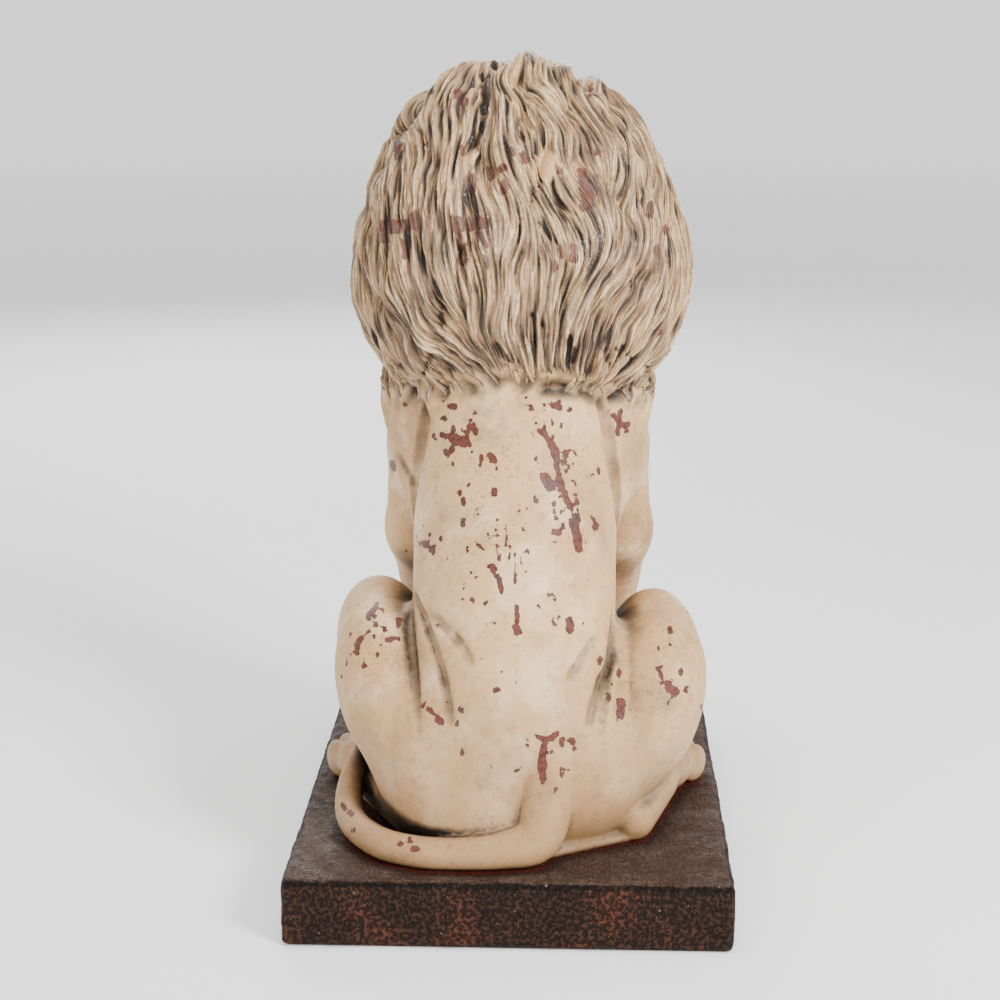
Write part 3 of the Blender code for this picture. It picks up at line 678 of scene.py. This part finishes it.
def chip_distance(camera, points, normals, strokes, spots, rng):
    """Millimetres from points to the nearest bare patch: as photographed, and like it elsewhere."""
    x, y, depth = in_picture(camera, points)
    seen = in_sight(camera, points, normals)
    there = stroke_distance(x, y, strokes) * depth / FOCAL * 1000
    away = np.full(len(points), 99.0)
    hidden = np.flatnonzero(~seen)
    for _ in range(spots):
        centre = points[rng.choice(hidden)]
        radius = rng.uniform(0.6, 2.6) ** 1.2
        drawn = rng.normal(0, 1, 3)
        drawn /= np.linalg.norm(drawn)
        offset = (points - centre) * 1000
        along = offset @ drawn
        spread = np.sqrt((offset**2).sum(axis=1) - along**2 + (along * rng.uniform(0.35, 0.9)) ** 2)
        away = np.minimum(away, spread - radius)
    away[seen] = 99.0
    return np.clip(np.where(seen, there, away), -6, 6)


def crumbs(strokes, count, rng):
    """Small bare specks strewn round the larger patches, given in the same way."""
    found = []
    for _ in range(count):
        x, y = np.array(strokes[rng.integers(len(strokes))][:2]) + rng.normal(0, 15, 2)
        dx, dy = rng.normal(0, 2, 2)
        found.append((x, y, dx, dy, rng.uniform(1.0, 3.0)))
    return strokes + tuple(found)


def shade_of(clay, points, normals):
    """How far each place is closed in by what stands round it, from 0 in the open to 1 in a deep fold."""
    total = 0
    for reach, weight in ((0.7, 0.25), (1.5, 0.3), (3.0, 0.25), (6.0, 0.2)):
        open_there = clay.sample(points + reach * normals) / reach
        total = total + weight * np.clip(1 - open_there, 0, 1)
    return total


def put_in_scene(name, data):
    made = bpy.data.objects.new(name, data)
    bpy.context.scene.collection.objects.link(made)
    return made


def bare_mesh(name, points, faces):
    mesh = bpy.data.meshes.new(name)
    mesh.from_pydata(points.tolist(), [], faces.tolist())
    return mesh


def painted(name, mesh, layers, material):
    """A piece of the scene from a mesh, the numbers that its paint reads at each point, and the paint."""
    for key, values in layers.items():
        layer = mesh.attributes.new(key, "FLOAT", "POINT")
        layer.data.foreach_set("value", values.astype(np.float32))
    mesh.shade_smooth()
    mesh.materials.append(material)
    return put_in_scene(name, mesh)


def numbers(mesh):
    """The points and point normals of a mesh."""
    points = np.empty(3 * len(mesh.vertices))
    mesh.vertices.foreach_get("co", points)
    normals = np.empty(3 * len(mesh.vertices))
    mesh.vertices.foreach_get("normal", normals)
    return points.reshape(-1, 3), normals.reshape(-1, 3)


def hair_cover(points, jag=0):
    """How fully hair covers a place, from 0 to 1. The jag makes the edge of the hair ragged."""
    x, y, z = points.T
    near = np.full(len(points), FAR)
    for centre, radii in MANE_MASSES:
        near = np.minimum(near, ellipsoid(centre, radii)[0](x, y, z))
    ear = np.full(len(points), FAR)
    for side in (-1, 1):
        ear = np.minimum(ear, ellipsoid((EAR[0] * side, EAR[1], EAR[2]), EAR_RADII)[0](x, y, z))
    face = np.sqrt((((points - FACE_CENTRE) / np.array(FACE_RADII)) ** 2).sum(axis=1)) - 1
    below = z - hem(points) + HEM_DROP + SIDE_DROP * np.abs(x) / 15
    room = np.minimum(below / EDGE_RAMP, face * FACE_RADII[1] / 1.6)
    room = np.minimum(room, np.minimum((HAIR_REACH - near) / 0.8, ear / 0.8))
    return np.clip(room + jag, 0, 1)


def press_folds(clay, unit, rear, camera):
    """Presses the folds into the clay, where lines of sight through the photograph meet it."""
    eye = to_clay(np.array(camera.matrix_world.translation), unit, rear)
    spin = np.array(camera.matrix_world)[:3, :3]
    share = np.linspace(0, 1, 8)[:, None]
    for x, y, dx, dy, width in FOLDS + SOFT_FOLDS:
        spots = (1 - share) * (x, y) + share * (x + dx, y + dy) - PICTURE / 2
        rays = np.column_stack([spots[:, 0], -spots[:, 1], np.full(len(spots), -FOCAL)]) @ spin.T
        rays = rays / np.linalg.norm(rays, axis=1, keepdims=True) * (1, -1, 1)
        points = eye + SIGHT_START * rays
        for _ in range(SIGHT_STEPS):
            points += np.clip(clay.sample(points), -1.5, 1.5)[:, None] * rays
        for start, end in zip(points[:-1], points[1:]):
            clay.bar(start, end, FOLD_RADIUS * width, FOLD_RADIUS * width, FOLD_FILLET, cut=True)


def make_body(clay, skin, unit, rear, camera, material):
    """The cast body: the clay's skin where hair doesn't hide it, thinned where it is smooth."""
    points, faces = skin
    deep = hair_cover(points, -1.4)
    faces = faces[deep[faces].min(axis=1) < 1]
    used, faces = np.unique(faces, return_inverse=True)
    faces = faces.reshape(-1, 4)
    points, deep = points[used], deep[used]
    points = points - (TUCK * deep)[:, None] * clay.normals(points)
    mesh = bare_mesh("lion_fine", to_world(points, unit, rear), faces)
    fine = put_in_scene("lion_fine", mesh)
    world, normals = numbers(mesh)
    x, y, _ = in_picture(camera, world)
    near_chip = (np.abs(stroke_distance(x, y, CHIPS + FOLDS)) < 4) & in_sight(camera, world, normals)
    care = np.where(deep > 0.2, 1.0, 0.25)
    care[near_chip | on_face(points)] = 0.02
    group = fine.vertex_groups.new(name="coarse")
    for weight in np.unique(care):
        group.add([int(i) for i in np.flatnonzero(care == weight)], float(weight), "REPLACE")
    thin = fine.modifiers.new("fewer_faces", "DECIMATE")
    thin.ratio = BODY_TRIANGLES / (2 * len(faces))
    thin.vertex_group = group.name
    thin.vertex_group_factor = 0.01
    thin.use_collapse_triangulate = True
    evaluated = fine.evaluated_get(bpy.context.evaluated_depsgraph_get())
    mesh = bpy.data.meshes.new_from_object(evaluated)
    bpy.data.objects.remove(fine)
    mesh.name = "lion"
    world, normals = numbers(mesh)
    points = to_clay(world, unit, rear)
    x, y, _ = in_picture(camera, world)
    out = normals * (1, -1, 1)
    shade = shade_of(clay, points, out)
    rng = np.random.default_rng(SEED)
    layers = {
        "shade": shade,
        "chip": chip_distance(camera, world, normals, crumbs(CHIPS, CRUMBS, rng), HIDDEN_CHIPS, rng),
        "floor": np.clip(points[:, 2], 0, 50),
        # where the mane hangs over the body, read by the paint as painted shadow under its hem
        "mane_shadow": hair_cover(points, 1.0),
        # how far from the folds, read by the paint as painted shade along them
        "fold": np.where(in_sight(camera, world, normals), np.clip(stroke_distance(x, y, FOLDS), -2, 20), 20),
    }
    return painted("lion_body", mesh, layers, material)


class Grain:
    """Soft lumps of chance in space, about as wide as the size given."""

    def __init__(self, rng, size):
        self.values = np.pad(rng.normal(0, 1, (61, 53, 67)), [(0, 1)] * 3, mode="wrap")
        self.size = size

    def at(self, points):
        place = points / self.size % (np.array(self.values.shape) - 1)
        base = np.floor(place)
        part = place - base
        return between(self.values, base + part * part * (3 - 2 * part))


def even(values):
    """Values spread so that their mean is 0 and they mostly lie between -2 and 2."""
    return (values - values.mean()) / values.std()


def lay_of_hair(form, rng):
    """For each place of the form's grid: which way hair lies there, and the way back to the form's skin."""
    places = np.stack(np.meshgrid(*form.axes, indexing="ij"), axis=-1).reshape(-1, 3)
    out = unit_length(np.stack(np.gradient(form.field), axis=-1).reshape(-1, 3))
    swing = sum(strength * Grain(rng, size).at(places) for size, strength in SWINGS)
    table = np.concatenate([fall(places, out, swing), -form.field.reshape(-1, 1) * out], axis=-1)
    return table.reshape(*form.field.shape, 6)


def strands(form, points, rng):
    """Broad and fine strands at each point: chance, drawn out along the way the hair lies."""
    broad, fine = Grain(rng, BROAD), Grain(rng, FINE)
    lay = lay_of_hair(form, rng)
    start = points.copy()
    for _ in range(3):
        start += between(lay, (start - form.low) / form.step)[:, 3:]
    total_broad, total_fine = broad.at(start), fine.at(start)
    for way in (1, -1):
        here = start.copy()
        for step in range(1, COMB_REACH + 1):
            move = between(lay, (here - form.low) / form.step)
            here += way * COMB_STEP * move[:, :3] + move[:, 3:]
            total_broad += broad.at(here) * math.cos(math.pi / 2 * step / (COMB_REACH + 1))
            if step <= FINE_REACH:
                total_fine += fine.at(here) * math.cos(math.pi / 2 * step / (FINE_REACH + 1))
    return even(total_broad), even(total_fine)


def split_faces(points, faces):
    """Each four-sided face made into four."""
    count = len(points)
    ends = np.sort(np.stack([faces, np.roll(faces, -1, axis=1)], axis=-1), axis=-1).reshape(-1, 2)
    names, back = np.unique(ends[:, 0] * count + ends[:, 1], return_inverse=True)
    edges = np.stack([names // count, names % count], axis=-1)
    middle = count + back.reshape(-1, 4)
    centre = count + len(edges) + np.arange(len(faces))
    parts = [np.stack([faces[:, i], middle[:, i], centre, middle[:, i - 1]], axis=-1) for i in range(4)]
    points = np.concatenate([points, points[edges].mean(axis=1), points[faces].mean(axis=1)])
    return points, np.concatenate(parts)


def smooth_form():
    """The lion without locks, in soft clay: the ground that the hair is combed over."""
    form = Clay((-29, 10, 20), (29, 77, 104), FORM_STEP, margin=6)
    torso(form)
    mane_mass(form)
    form.ball((0, 55.5, 83.5), (10.8, 11, 11.5), 3)
    return form


def coarser(clay, step):
    """The same clay on a grid with wider steps."""
    copy = Clay(clay.low, [axis[-1] for axis in clay.axes], step)
    places = np.stack(np.meshgrid(*copy.axes, indexing="ij"), axis=-1).reshape(-1, 3)
    copy.field = clay.sample(places).reshape(copy.field.shape)
    return copy


def make_mane(clay, unit, rear, camera, material):
    """The mane's skin, carved with strands, in pieces by where it lies round the head."""
    rng = np.random.default_rng(SEED + 1)
    points, faces = coarser(clay, SKIN_STEP).surface()
    faces = outer_shell(len(points), faces)[:, ::-1]
    faces = faces[hair_cover(points, 0.7)[faces].min(axis=1) > 0]
    used, faces = np.unique(faces, return_inverse=True)
    points, faces = split_faces(points[used], faces.reshape(-1, 4))
    points -= clay.sample(points)[:, None] * clay.normals(points)
    broad, fine = strands(smooth_form(), points, rng)
    out = clay.normals(points)

    world = to_world(points, unit, rear)
    x, y, _ = in_picture(camera, world)
    seen = in_sight(camera, world, out * (1, -1, 1))
    notch = np.where(seen, np.clip(0.7 - (stroke_distance(x, y, NOTCHES) + 1.8 * fine) / 2.0, 0, 1.4), 0)
    broad = broad - 1.4 * notch
    dab = np.where(seen, np.clip((DAB[2] + 2 * fine - np.hypot(x - DAB[0], (y - DAB[1]) * 0.8)) / 3, 0, 1), 0)
    shade = shade_of(clay, points, out)
    cover = hair_cover(points, 0.4 * broad + 0.6 * notch)
    height = HAIR_LIFT + BROAD_DEPTH * np.tanh(0.9 * broad) + FINE_DEPTH * np.tanh(1.2 * fine)
    height = height * (1 - dab) + (HAIR_LIFT + 0.9 * BROAD_DEPTH) * dab
    height = cover * height - (1 - cover) * TUCK
    world = to_world(points + out * height[:, None], unit, rear)
    chip = chip_distance(camera, world, out * (1, -1, 1), MANE_CHIPS, HIDDEN_MANE_CHIPS, rng)
    layers = {
        "broad": np.where(dab > 0, broad * (1 - dab) + dab, broad),
        "fine": fine * (1 - dab),
        "shade": shade,
        "chip": chip,
        "dab": dab,
        # height above the hem, read by the paint as painted shade under the lock ends
        "hem": np.clip(points[:, 2] - hem(points), -3, 12),
    }

    middle = points[faces].mean(axis=1) - MANE_HEART
    order = np.argsort(np.arctan2(middle[:, 0], -middle[:, 1]))
    pieces = []
    for name, chosen in zip("abcd", np.array_split(order, 4)):
        own, corners = np.unique(faces[chosen], return_inverse=True)
        mine = {key: values[own] for key, values in layers.items()}
        mesh = bare_mesh("mane_" + name, world[own], corners.reshape(-1, 4))
        pieces.append(painted("mane_" + name, mesh, mine, material))
    return pieces


# The plinth's skin, in metres
PLINTH_SPACING = 0.0019
PLINTH_ROUNDING = 0.0045
PLINTH_DENTS = ((0.5, 22), (0.35, 130), (0.2, 320))  # how deep, and how many to the metre


def make_plinth(clay, unit, rear, material):
    """A cast slab with worn, uneven edges and a rough skin."""
    size = PLINTH_HIGH - PLINTH_LOW
    centre = (PLINTH_HIGH + PLINTH_LOW) / 2
    points, faces, start = [], [], 0
    for axis in range(3):
        b, c = (axis + 1) % 3, (axis + 2) % 3
        nb, nc = (max(int(round(size[i] / PLINTH_SPACING)), 4) for i in (b, c))
        for end in (-1, 1):
            u, v = np.meshgrid(np.linspace(-0.5, 0.5, nb + 1), np.linspace(-0.5, 0.5, nc + 1), indexing="ij")
            grid = np.zeros((nb + 1, nc + 1, 3))
            grid[..., axis] = end * size[axis] / 2
            grid[..., b] = u * size[b]
            grid[..., c] = v * size[c]
            points.append(grid.reshape(-1, 3))
            row = start + np.arange(nb)[:, None] * (nc + 1) + np.arange(nc)[None, :]
            quad = np.stack([row, row + nc + 1, row + nc + 2, row + 1], axis=-1).reshape(-1, 4)
            faces.append(quad if end > 0 else quad[:, ::-1])
            start += grid.shape[0] * grid.shape[1]
    points, faces = np.concatenate(points), np.concatenate(faces)
    inner = np.clip(points, -(size / 2 - PLINTH_ROUNDING), size / 2 - PLINTH_ROUNDING)
    out = points - inner
    length = np.maximum(np.linalg.norm(out, axis=1, keepdims=True), 1e-9)
    corner = (np.abs(out) > PLINTH_ROUNDING * 0.2).sum(axis=1) > 1
    out = out / length
    flat = np.abs(out).max(axis=1) > 0.999
    points = inner + PLINTH_ROUNDING * out
    dents = np.empty(len(points))
    for i, p in enumerate(points):
        dents[i] = sum(weight * noise.noise(Vector(p) * scale) for weight, scale in PLINTH_DENTS)
    strength = np.where(flat & (out[:, 2] > 0.9), 0.0006, 0.0012)
    strength = np.where(corner, 0.0022, strength)
    push = np.minimum(dents, 0.35) * strength
    push[(out[:, 2] > 0.9)] = np.minimum(push[(out[:, 2] > 0.9)], 0)
    push[out[:, 2] < -0.5] = 0
    points = points + out * push[:, None] + centre
    mesh = bare_mesh("plinth_skin", points, faces)
    block = bmesh.new()
    block.from_mesh(mesh)
    bmesh.ops.remove_doubles(block, verts=block.verts, dist=1e-5)
    bmesh.ops.recalc_face_normals(block, faces=block.faces)
    block.to_mesh(mesh)
    block.free()
    world, normals = numbers(mesh)
    local = to_clay(world, unit, rear)
    local[:, 2] = np.maximum(local[:, 2], 0.4)
    near = np.clip(clay.sample(local), 0, 12)
    near[world[:, 2] < PLINTH_HIGH[2] - 0.006] = 12
    edge = (size / 2 - np.abs(world - centre))[:, :2].min(axis=1)
    # near: how far from the lion, read by the paint as painted shadow and a red-brown line round its foot
    layers = {"near": near, "edge": edge * 1000, "top": normals[:, 2]}
    return painted("plinth_skin", mesh, layers, material)


def linear(red, green, blue):
    """A colour given as a screen shows it, in parts of 255, for a shader."""
    parts = [c / 255 for c in (red, green, blue)]
    return tuple(c / 12.92 if c <= 0.04045 else ((c + 0.055) / 1.055) ** 2.4 for c in parts) + (1.0,)


class Paint:
    """A material that is built up in layers of paint."""

    def __init__(self, name):
        self.material = bpy.data.materials.new(name)
        self.material.use_nodes = True
        self.tree = self.material.node_tree
        self.shader = self.tree.nodes["Principled BSDF"]
        self.place = self.node("ShaderNodeTexCoord").outputs["Object"]

    def node(self, kind, **settings):
        made = self.tree.nodes.new(kind)
        for key, value in settings.items():
            setattr(made, key, value)
        return made

    def put(self, socket, value):
        if isinstance(value, bpy.types.NodeSocket):
            self.tree.links.new(value, socket)
        else:
            socket.default_value = value

    def attribute(self, name):
        return self.node("ShaderNodeAttribute", attribute_name=name).outputs["Fac"]

    def math(self, operation, a, b=0.0):
        made = self.node("ShaderNodeMath", operation=operation)
        self.put(made.inputs[0], a)
        self.put(made.inputs[1], b)
        return made.outputs[0]

    def plus(self, a, b):
        return self.math("ADD", a, b)

    def times(self, a, b):
        return self.math("MULTIPLY", a, b)

    def about(self, value, strength):
        """A value between 0 and 1, moved to lie round 0 and given a strength."""
        return self.times(self.math("SUBTRACT", value, 0.5), strength)

    def noise(self, scale, detail=3.0, rough=0.55, place=None):
        made = self.node("ShaderNodeTexNoise")
        self.put(made.inputs["Vector"], place or self.place)
        made.inputs["Scale"].default_value = scale
        made.inputs["Detail"].default_value = detail
        made.inputs["Roughness"].default_value = rough
        return made.outputs["Fac"]

    def cracks(self, scale):
        """Distances from the borders between cells, which look like cracked paint."""
        made = self.node("ShaderNodeTexVoronoi", feature="DISTANCE_TO_EDGE")
        self.put(made.inputs["Vector"], self.place)
        made.inputs["Scale"].default_value = scale
        return made.outputs["Distance"]

    def span(self, value, low, high, to_low=0.0, to_high=1.0):
        """The value, spread from one range to another and held inside it, with a soft start and end."""
        made = self.node("ShaderNodeMapRange", interpolation_type="SMOOTHSTEP")
        names = ("Value", "From Min", "From Max", "To Min", "To Max")
        for name, number in zip(names, (value, low, high, to_low, to_high)):
            self.put(made.inputs[name], number)
        return made.outputs[0]

    def mix(self, share, a, b):
        made = self.node("ShaderNodeMix", data_type="RGBA")
        self.put(made.inputs["Factor"], share)
        self.put(made.inputs["A"], a)
        self.put(made.inputs["B"], b)
        return made.outputs["Result"]

    def wash(self, tint, share):
        """Lays a tint over the colour so far."""
        self.colour = self.mix(share, self.colour, tint)

    def finish(self, rough, height, depth, gloss=0.3):
        self.put(self.shader.inputs["Base Color"], self.colour)
        self.shader.inputs["Specular IOR Level"].default_value = gloss
        self.put(self.shader.inputs["Roughness"], rough)
        bump = self.node("ShaderNodeBump")
        bump.inputs["Distance"].default_value = depth
        self.put(bump.inputs["Height"], height)
        self.put(self.shader.inputs["Normal"], bump.outputs[0])
        return self.material


CREAM = linear(216, 174, 122)
PALE_AND_HIGHLIGHT = linear(236, 206, 165)
WARM = linear(198, 154, 106)
TAN = linear(156, 120, 82)
BROWN_WASH = linear(116, 90, 68)
GREY_WASH_AND_SHADE = linear(80, 64, 50)
DARK_WASH_AND_SHADE = linear(34, 26, 20)
BARE_RED = linear(106, 56, 45)
BARE_PURPLE = linear(96, 64, 60)
BARE_DARK = linear(40, 22, 17)
PLINTH_BLACK = linear(16, 11, 9)


def worn(p, chip, ragged):
    """How bare each place is and how far it is the dark rim of a chip, from its distance and a rough edge."""
    edge = p.plus(chip, ragged)
    bare = p.span(edge, -0.1, 0.12, 1, 0)
    rim = p.times(p.span(edge, -0.45, 0.0), p.span(edge, 0.05, 0.3, 1, 0))
    return bare, rim


def body_paint():
    """Cream over red-brown: warmer in places, chipped, and darker in the hollows and folds, partly as dark
    wash and partly as painted shade, with a painted shadow under the mane's hem.
    """
    p = Paint("lion_paint")
    p.colour = p.mix(p.span(p.noise(9, 3, 0.5), 0.42, 0.64), CREAM, WARM)
    p.wash(PALE_AND_HIGHLIGHT, p.span(p.noise(30, 4, 0.6), 0.48, 0.72, 0, 0.7))
    p.wash(WARM, p.span(p.noise(85, 4, 0.6), 0.52, 0.75, 0, 0.3))
    low = p.plus(p.attribute("floor"), p.about(p.noise(11, 4, 0.6), 30))
    p.wash(TAN, p.span(low, 2, 34, 0.75, 0))
    smudge = p.span(p.noise(17, 5, 0.66), 0.52, 0.78)
    p.wash(GREY_WASH_AND_SHADE, p.times(smudge, 0.5))
    stippled = p.span(p.noise(19, 4, 0.6), 0.5, 0.7, 0.05, 0.6)
    p.wash(GREY_WASH_AND_SHADE, p.times(p.span(p.noise(480, 2, 0.6), 0.56, 0.66), stippled))
    p.wash(GREY_WASH_AND_SHADE, p.span(p.noise(210, 4, 0.65), 0.48, 0.75, 0, 0.3))

    # Darker where the skin is closed in and just under the mane's hem: partly dark wash, partly painted shade
    shade = p.attribute("shade")
    shade = p.plus(shade, p.times(p.attribute("mane_shadow"), 0.2))
    rough_shade = p.plus(shade, p.about(p.noise(48, 6, 0.7), 0.6))
    p.wash(GREY_WASH_AND_SHADE, p.span(rough_shade, 0.1, 0.5, 0, 0.75))
    p.wash(DARK_WASH_AND_SHADE, p.span(rough_shade, 0.4, 0.75, 0, 0.95))

    # Painted shade along the folds of skin: a soft grey fade round a dark core line
    fold = p.plus(p.attribute("fold"), p.about(p.noise(160, 5, 0.7), 4.0))
    p.wash(GREY_WASH_AND_SHADE, p.span(fold, 0, 7, 0.25, 0))
    p.wash(DARK_WASH_AND_SHADE, p.span(fold, -0.8, 1.0, 0.65, 0))

    crack = p.times(p.span(p.cracks(240), 0.0, 0.04, 1, 0), p.span(p.noise(24, 3), 0.55, 0.7))
    p.wash(GREY_WASH_AND_SHADE, p.times(crack, 0.4))

    specks = p.times(p.span(p.noise(260, 3, 0.6), 0.7, 0.735), p.span(p.noise(33, 2), 0.46, 0.6))
    p.wash(BARE_DARK, p.times(specks, 0.85))

    ragged = p.plus(p.about(p.noise(300, 4, 0.65), 4.0), p.about(p.noise(95, 2), 5.0))
    bare, rim = worn(p, p.attribute("chip"), ragged)
    under = p.mix(p.span(p.noise(60, 3), 0.52, 0.64), BARE_RED, BARE_PURPLE)
    under = p.mix(p.span(p.noise(420, 3), 0.42, 0.72, 0, 0.7), under, BARE_DARK)
    p.wash(under, bare)
    p.wash(BARE_DARK, p.times(rim, 0.75))

    skirt = p.span(p.attribute("floor"), 0.1, 0.9, 0.8, 0)
    p.wash(BARE_DARK, skirt)

    grain = p.noise(520, 5, 0.6)
    lumps = p.noise(75, 3, 0.5)
    height = p.plus(p.times(grain, 0.12), p.times(lumps, 0.35))
    height = p.math("SUBTRACT", height, p.times(bare, 0.35))
    height = p.math("SUBTRACT", height, p.times(crack, 0.08))
    rough = p.span(p.noise(40, 3), 0.3, 0.7, 0.42, 0.66)
    return p.finish(rough, height, 0.0009)


def mane_paint():
    """The same paint on the strands, with the dark wash left in every groove, painted shade in the closed-in
    places and under the lock ends at the hem, and painted highlight on the crests.
    """
    p = Paint("mane_paint")
    broad, fine = p.attribute("broad"), p.attribute("fine")
    patchy = p.about(p.noise(30, 4, 0.6), 1.6)
    p.colour = p.mix(p.span(p.noise(16, 4, 0.6), 0.4, 0.66), CREAM, TAN)
    # Painted highlight: the crests of the strands made lighter
    p.wash(PALE_AND_HIGHLIGHT, p.span(p.plus(broad, p.times(fine, 0.8)), 0.4, 2.0, 0, 0.85))
    p.wash(BROWN_WASH, p.span(p.noise(120, 4, 0.65), 0.48, 0.78, 0, 0.4))

    lines = p.plus(p.times(fine, -1), p.times(patchy, 0.5))
    p.wash(BROWN_WASH, p.span(lines, -0.5, 0.9, 0, 0.8))
    # Scratches that follow the strands, because they are drawn where two of their values are level
    level = p.plus(p.times(broad, 6.5), p.times(fine, 2.5))
    scratch = p.math("SINE", level)
    p.wash(BROWN_WASH, p.span(p.plus(scratch, patchy), 0.1, 1.1, 0, 0.62))
    upright = p.node("ShaderNodeMapping")
    p.put(upright.inputs["Vector"], p.place)
    upright.inputs["Scale"].default_value = (620, 620, 70)
    p.wash(BROWN_WASH, p.span(p.noise(1, 3, 0.6, upright.outputs[0]), 0.5, 0.66, 0, 0.45))
    # Dark wash in the grooves of the strands, with painted shade added where the mane is closed in and under
    # the lock ends at the hem
    wash_and_shade = p.plus(p.times(p.plus(broad, p.times(fine, 0.6)), -1), patchy)
    wash_and_shade = p.plus(wash_and_shade, p.times(p.attribute("shade"), 1.1))
    wash_and_shade = p.plus(wash_and_shade, p.span(p.attribute("hem"), -2.5, 3.5, 1.3, 0))
    p.wash(GREY_WASH_AND_SHADE, p.span(wash_and_shade, 0.1, 1.6, 0, 0.8))
    p.wash(DARK_WASH_AND_SHADE, p.span(wash_and_shade, 1.3, 2.3, 0, 0.9))
    p.wash(DARK_WASH_AND_SHADE, p.span(lines, 1.0, 1.9, 0, 0.85))

    ragged = p.plus(p.times(fine, -0.6), p.about(p.noise(200, 4), 3.0))
    bare, _ = worn(p, p.math("SUBTRACT", p.attribute("chip"), 0.7), ragged)
    under = p.mix(p.span(p.noise(45, 3), 0.45, 0.6), BARE_RED, BARE_PURPLE)
    under = p.mix(p.span(wash_and_shade, 0.5, 1.6, 0, 0.8), under, BARE_DARK)
    p.wash(under, p.times(bare, 0.9))
    p.wash(CREAM, p.times(p.attribute("dab"), 0.9))

    height = p.plus(p.times(p.noise(300, 4), 0.6), p.times(scratch, -0.3))
    rough = p.span(p.noise(60, 3), 0.35, 0.65, 0.26, 0.55)
    return p.finish(rough, height, 0.0008, 0.5)


def plinth_paint():
    """Dark brown with rust showing through, greyer on top, pale where the edges are worn, and with a painted
    shadow round the lion's foot.
    """
    p = Paint("plinth_paint")
    p.colour = p.mix(p.span(p.noise(30, 4, 0.6), 0.42, 0.68), linear(52, 34, 26), linear(82, 48, 34))
    pits = p.span(p.noise(400, 3, 0.6), 0.4, 0.56, 0.85, 0)
    p.wash(PLINTH_BLACK, pits)
    top = p.span(p.attribute("top"), 0.6, 0.95)
    upper = p.mix(p.span(p.noise(42, 5, 0.62), 0.42, 0.66), linear(74, 54, 44), linear(92, 76, 66))
    upper = p.mix(p.span(p.noise(170, 4, 0.6), 0.5, 0.72, 0, 0.7), upper, linear(40, 27, 22))
    p.wash(upper, top)
    # Painted shadow on the plinth round the lion's foot, then a red-brown line right at its edge
    p.wash(linear(40, 24, 18), p.span(p.attribute("near"), 0.3, 2.2, 0.8, 0))
    p.wash(linear(84, 32, 22), p.span(p.attribute("near"), 0.2, 0.7, 0.9, 0))
    rim = p.times(p.span(p.attribute("top"), 0.15, 0.5), p.span(p.attribute("top"), 0.8, 0.95, 1, 0))
    p.wash(PLINTH_BLACK, p.times(rim, 0.8))
    specks = p.times(p.span(p.noise(260, 3, 0.6), 0.6, 0.66), p.span(p.noise(24, 3), 0.5, 0.6))
    specks = p.times(specks, p.span(p.attribute("edge"), 0.8, 4.0, 1, 0))
    p.wash(linear(186, 160, 138), p.times(specks, top))
    fleck = p.times(p.span(p.noise(430, 3, 0.6), 0.7, 0.74), 0.7)
    p.wash(linear(150, 128, 108), fleck)
    height = p.math("SUBTRACT", p.times(p.noise(330, 5, 0.65), 0.5), pits)
    rough = p.span(p.noise(120, 3), 0.3, 0.7, 0.4, 0.7)
    return p.finish(rough, height, 0.0022, 0.12)


LIGHTS = (  # place and size in metres, power in watts
    ("key", (-1.3, 1.35, 1.4), 0.6, 70),
    ("fill", (1.3, 1.5, 0.9), 1.1, 7),
    ("top", (0.1, 0.2, 1.9), 1.0, 20),
    ("front", (0.5, -1.8, 1.2), 1.2, 26),
)
LIT_PLACE = Vector((0, 0, 0.24))


def make_stage():
    """A pale floor that sweeps up far away on every side, and soft lights round the lion."""
    flat, bend, high, sides = 6.0, 3.0, 6.0, 64  # metres, and corners to the round
    profile = [(flat + bend * math.sin(t), bend * (1 - math.cos(t))) for t in np.linspace(0, math.pi / 2, 13)]
    profile.append((flat + bend, high))
    turns = 2 * math.pi * np.arange(sides) / sides
    points = [(r * math.cos(turn), r * math.sin(turn), z) for r, z in profile for turn in turns]
    faces = [list(range(sides))]
    for ring in range(len(profile) - 1):
        for i in range(sides):
            a, b = ring * sides + i, ring * sides + (i + 1) % sides
            faces.append([a, a + sides, b + sides, b])
    mesh = bpy.data.meshes.new("floor")
    mesh.from_pydata(points, [], faces)
    mesh.shade_smooth()
    floor = put_in_scene("floor", mesh)
    p = Paint("floor_white")
    p.shader.inputs["Base Color"].default_value = (0.9, 0.9, 0.9, 1)
    p.shader.inputs["Emission Color"].default_value = (1, 1, 1, 1)
    off = p.node("ShaderNodeVectorMath", operation="LENGTH")
    p.put(off.inputs[0], p.place)
    p.put(p.shader.inputs["Emission Strength"], p.span(off.outputs["Value"], 0.5, 6.5, 0.3, 0.62))
    p.shader.inputs["Roughness"].default_value = 0.9
    mesh.materials.append(p.material)
    world = bpy.data.worlds.new("room")
    bpy.context.scene.world = world
    world.use_nodes = True
    world.node_tree.nodes["Background"].inputs["Color"].default_value = (1, 1, 1, 1)
    world.node_tree.nodes["Background"].inputs["Strength"].default_value = 0.2
    for name, spot, size, power in LIGHTS:
        data = bpy.data.lights.new(name, "AREA")
        data.size = size
        data.energy = power
        lamp = put_in_scene(name, data)
        lamp.location = spot
        lamp.rotation_euler = (LIT_PLACE - Vector(spot)).to_track_quat("-Z", "Y").to_euler()


camera = place_camera()
make_stage()
clay = sculpt_lion()
unit = (LION_HIGH[2] - LION_LOW[2]) / HIGHEST
rear = LION_HIGH[1] + REARMOST * unit
press_folds(clay, unit, rear, camera)
points, faces = clay.surface()
skin = points, outer_shell(len(points), faces)[:, ::-1]
body = make_body(clay, skin, unit, rear, camera, body_paint())
manes = make_mane(clay, unit, rear, camera, mane_paint())
for piece in [body] + manes:
    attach(piece, "root")
    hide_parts("lion")
plinth = make_plinth(clay, unit, rear, plinth_paint())
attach(plinth, "root")
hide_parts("plinth")
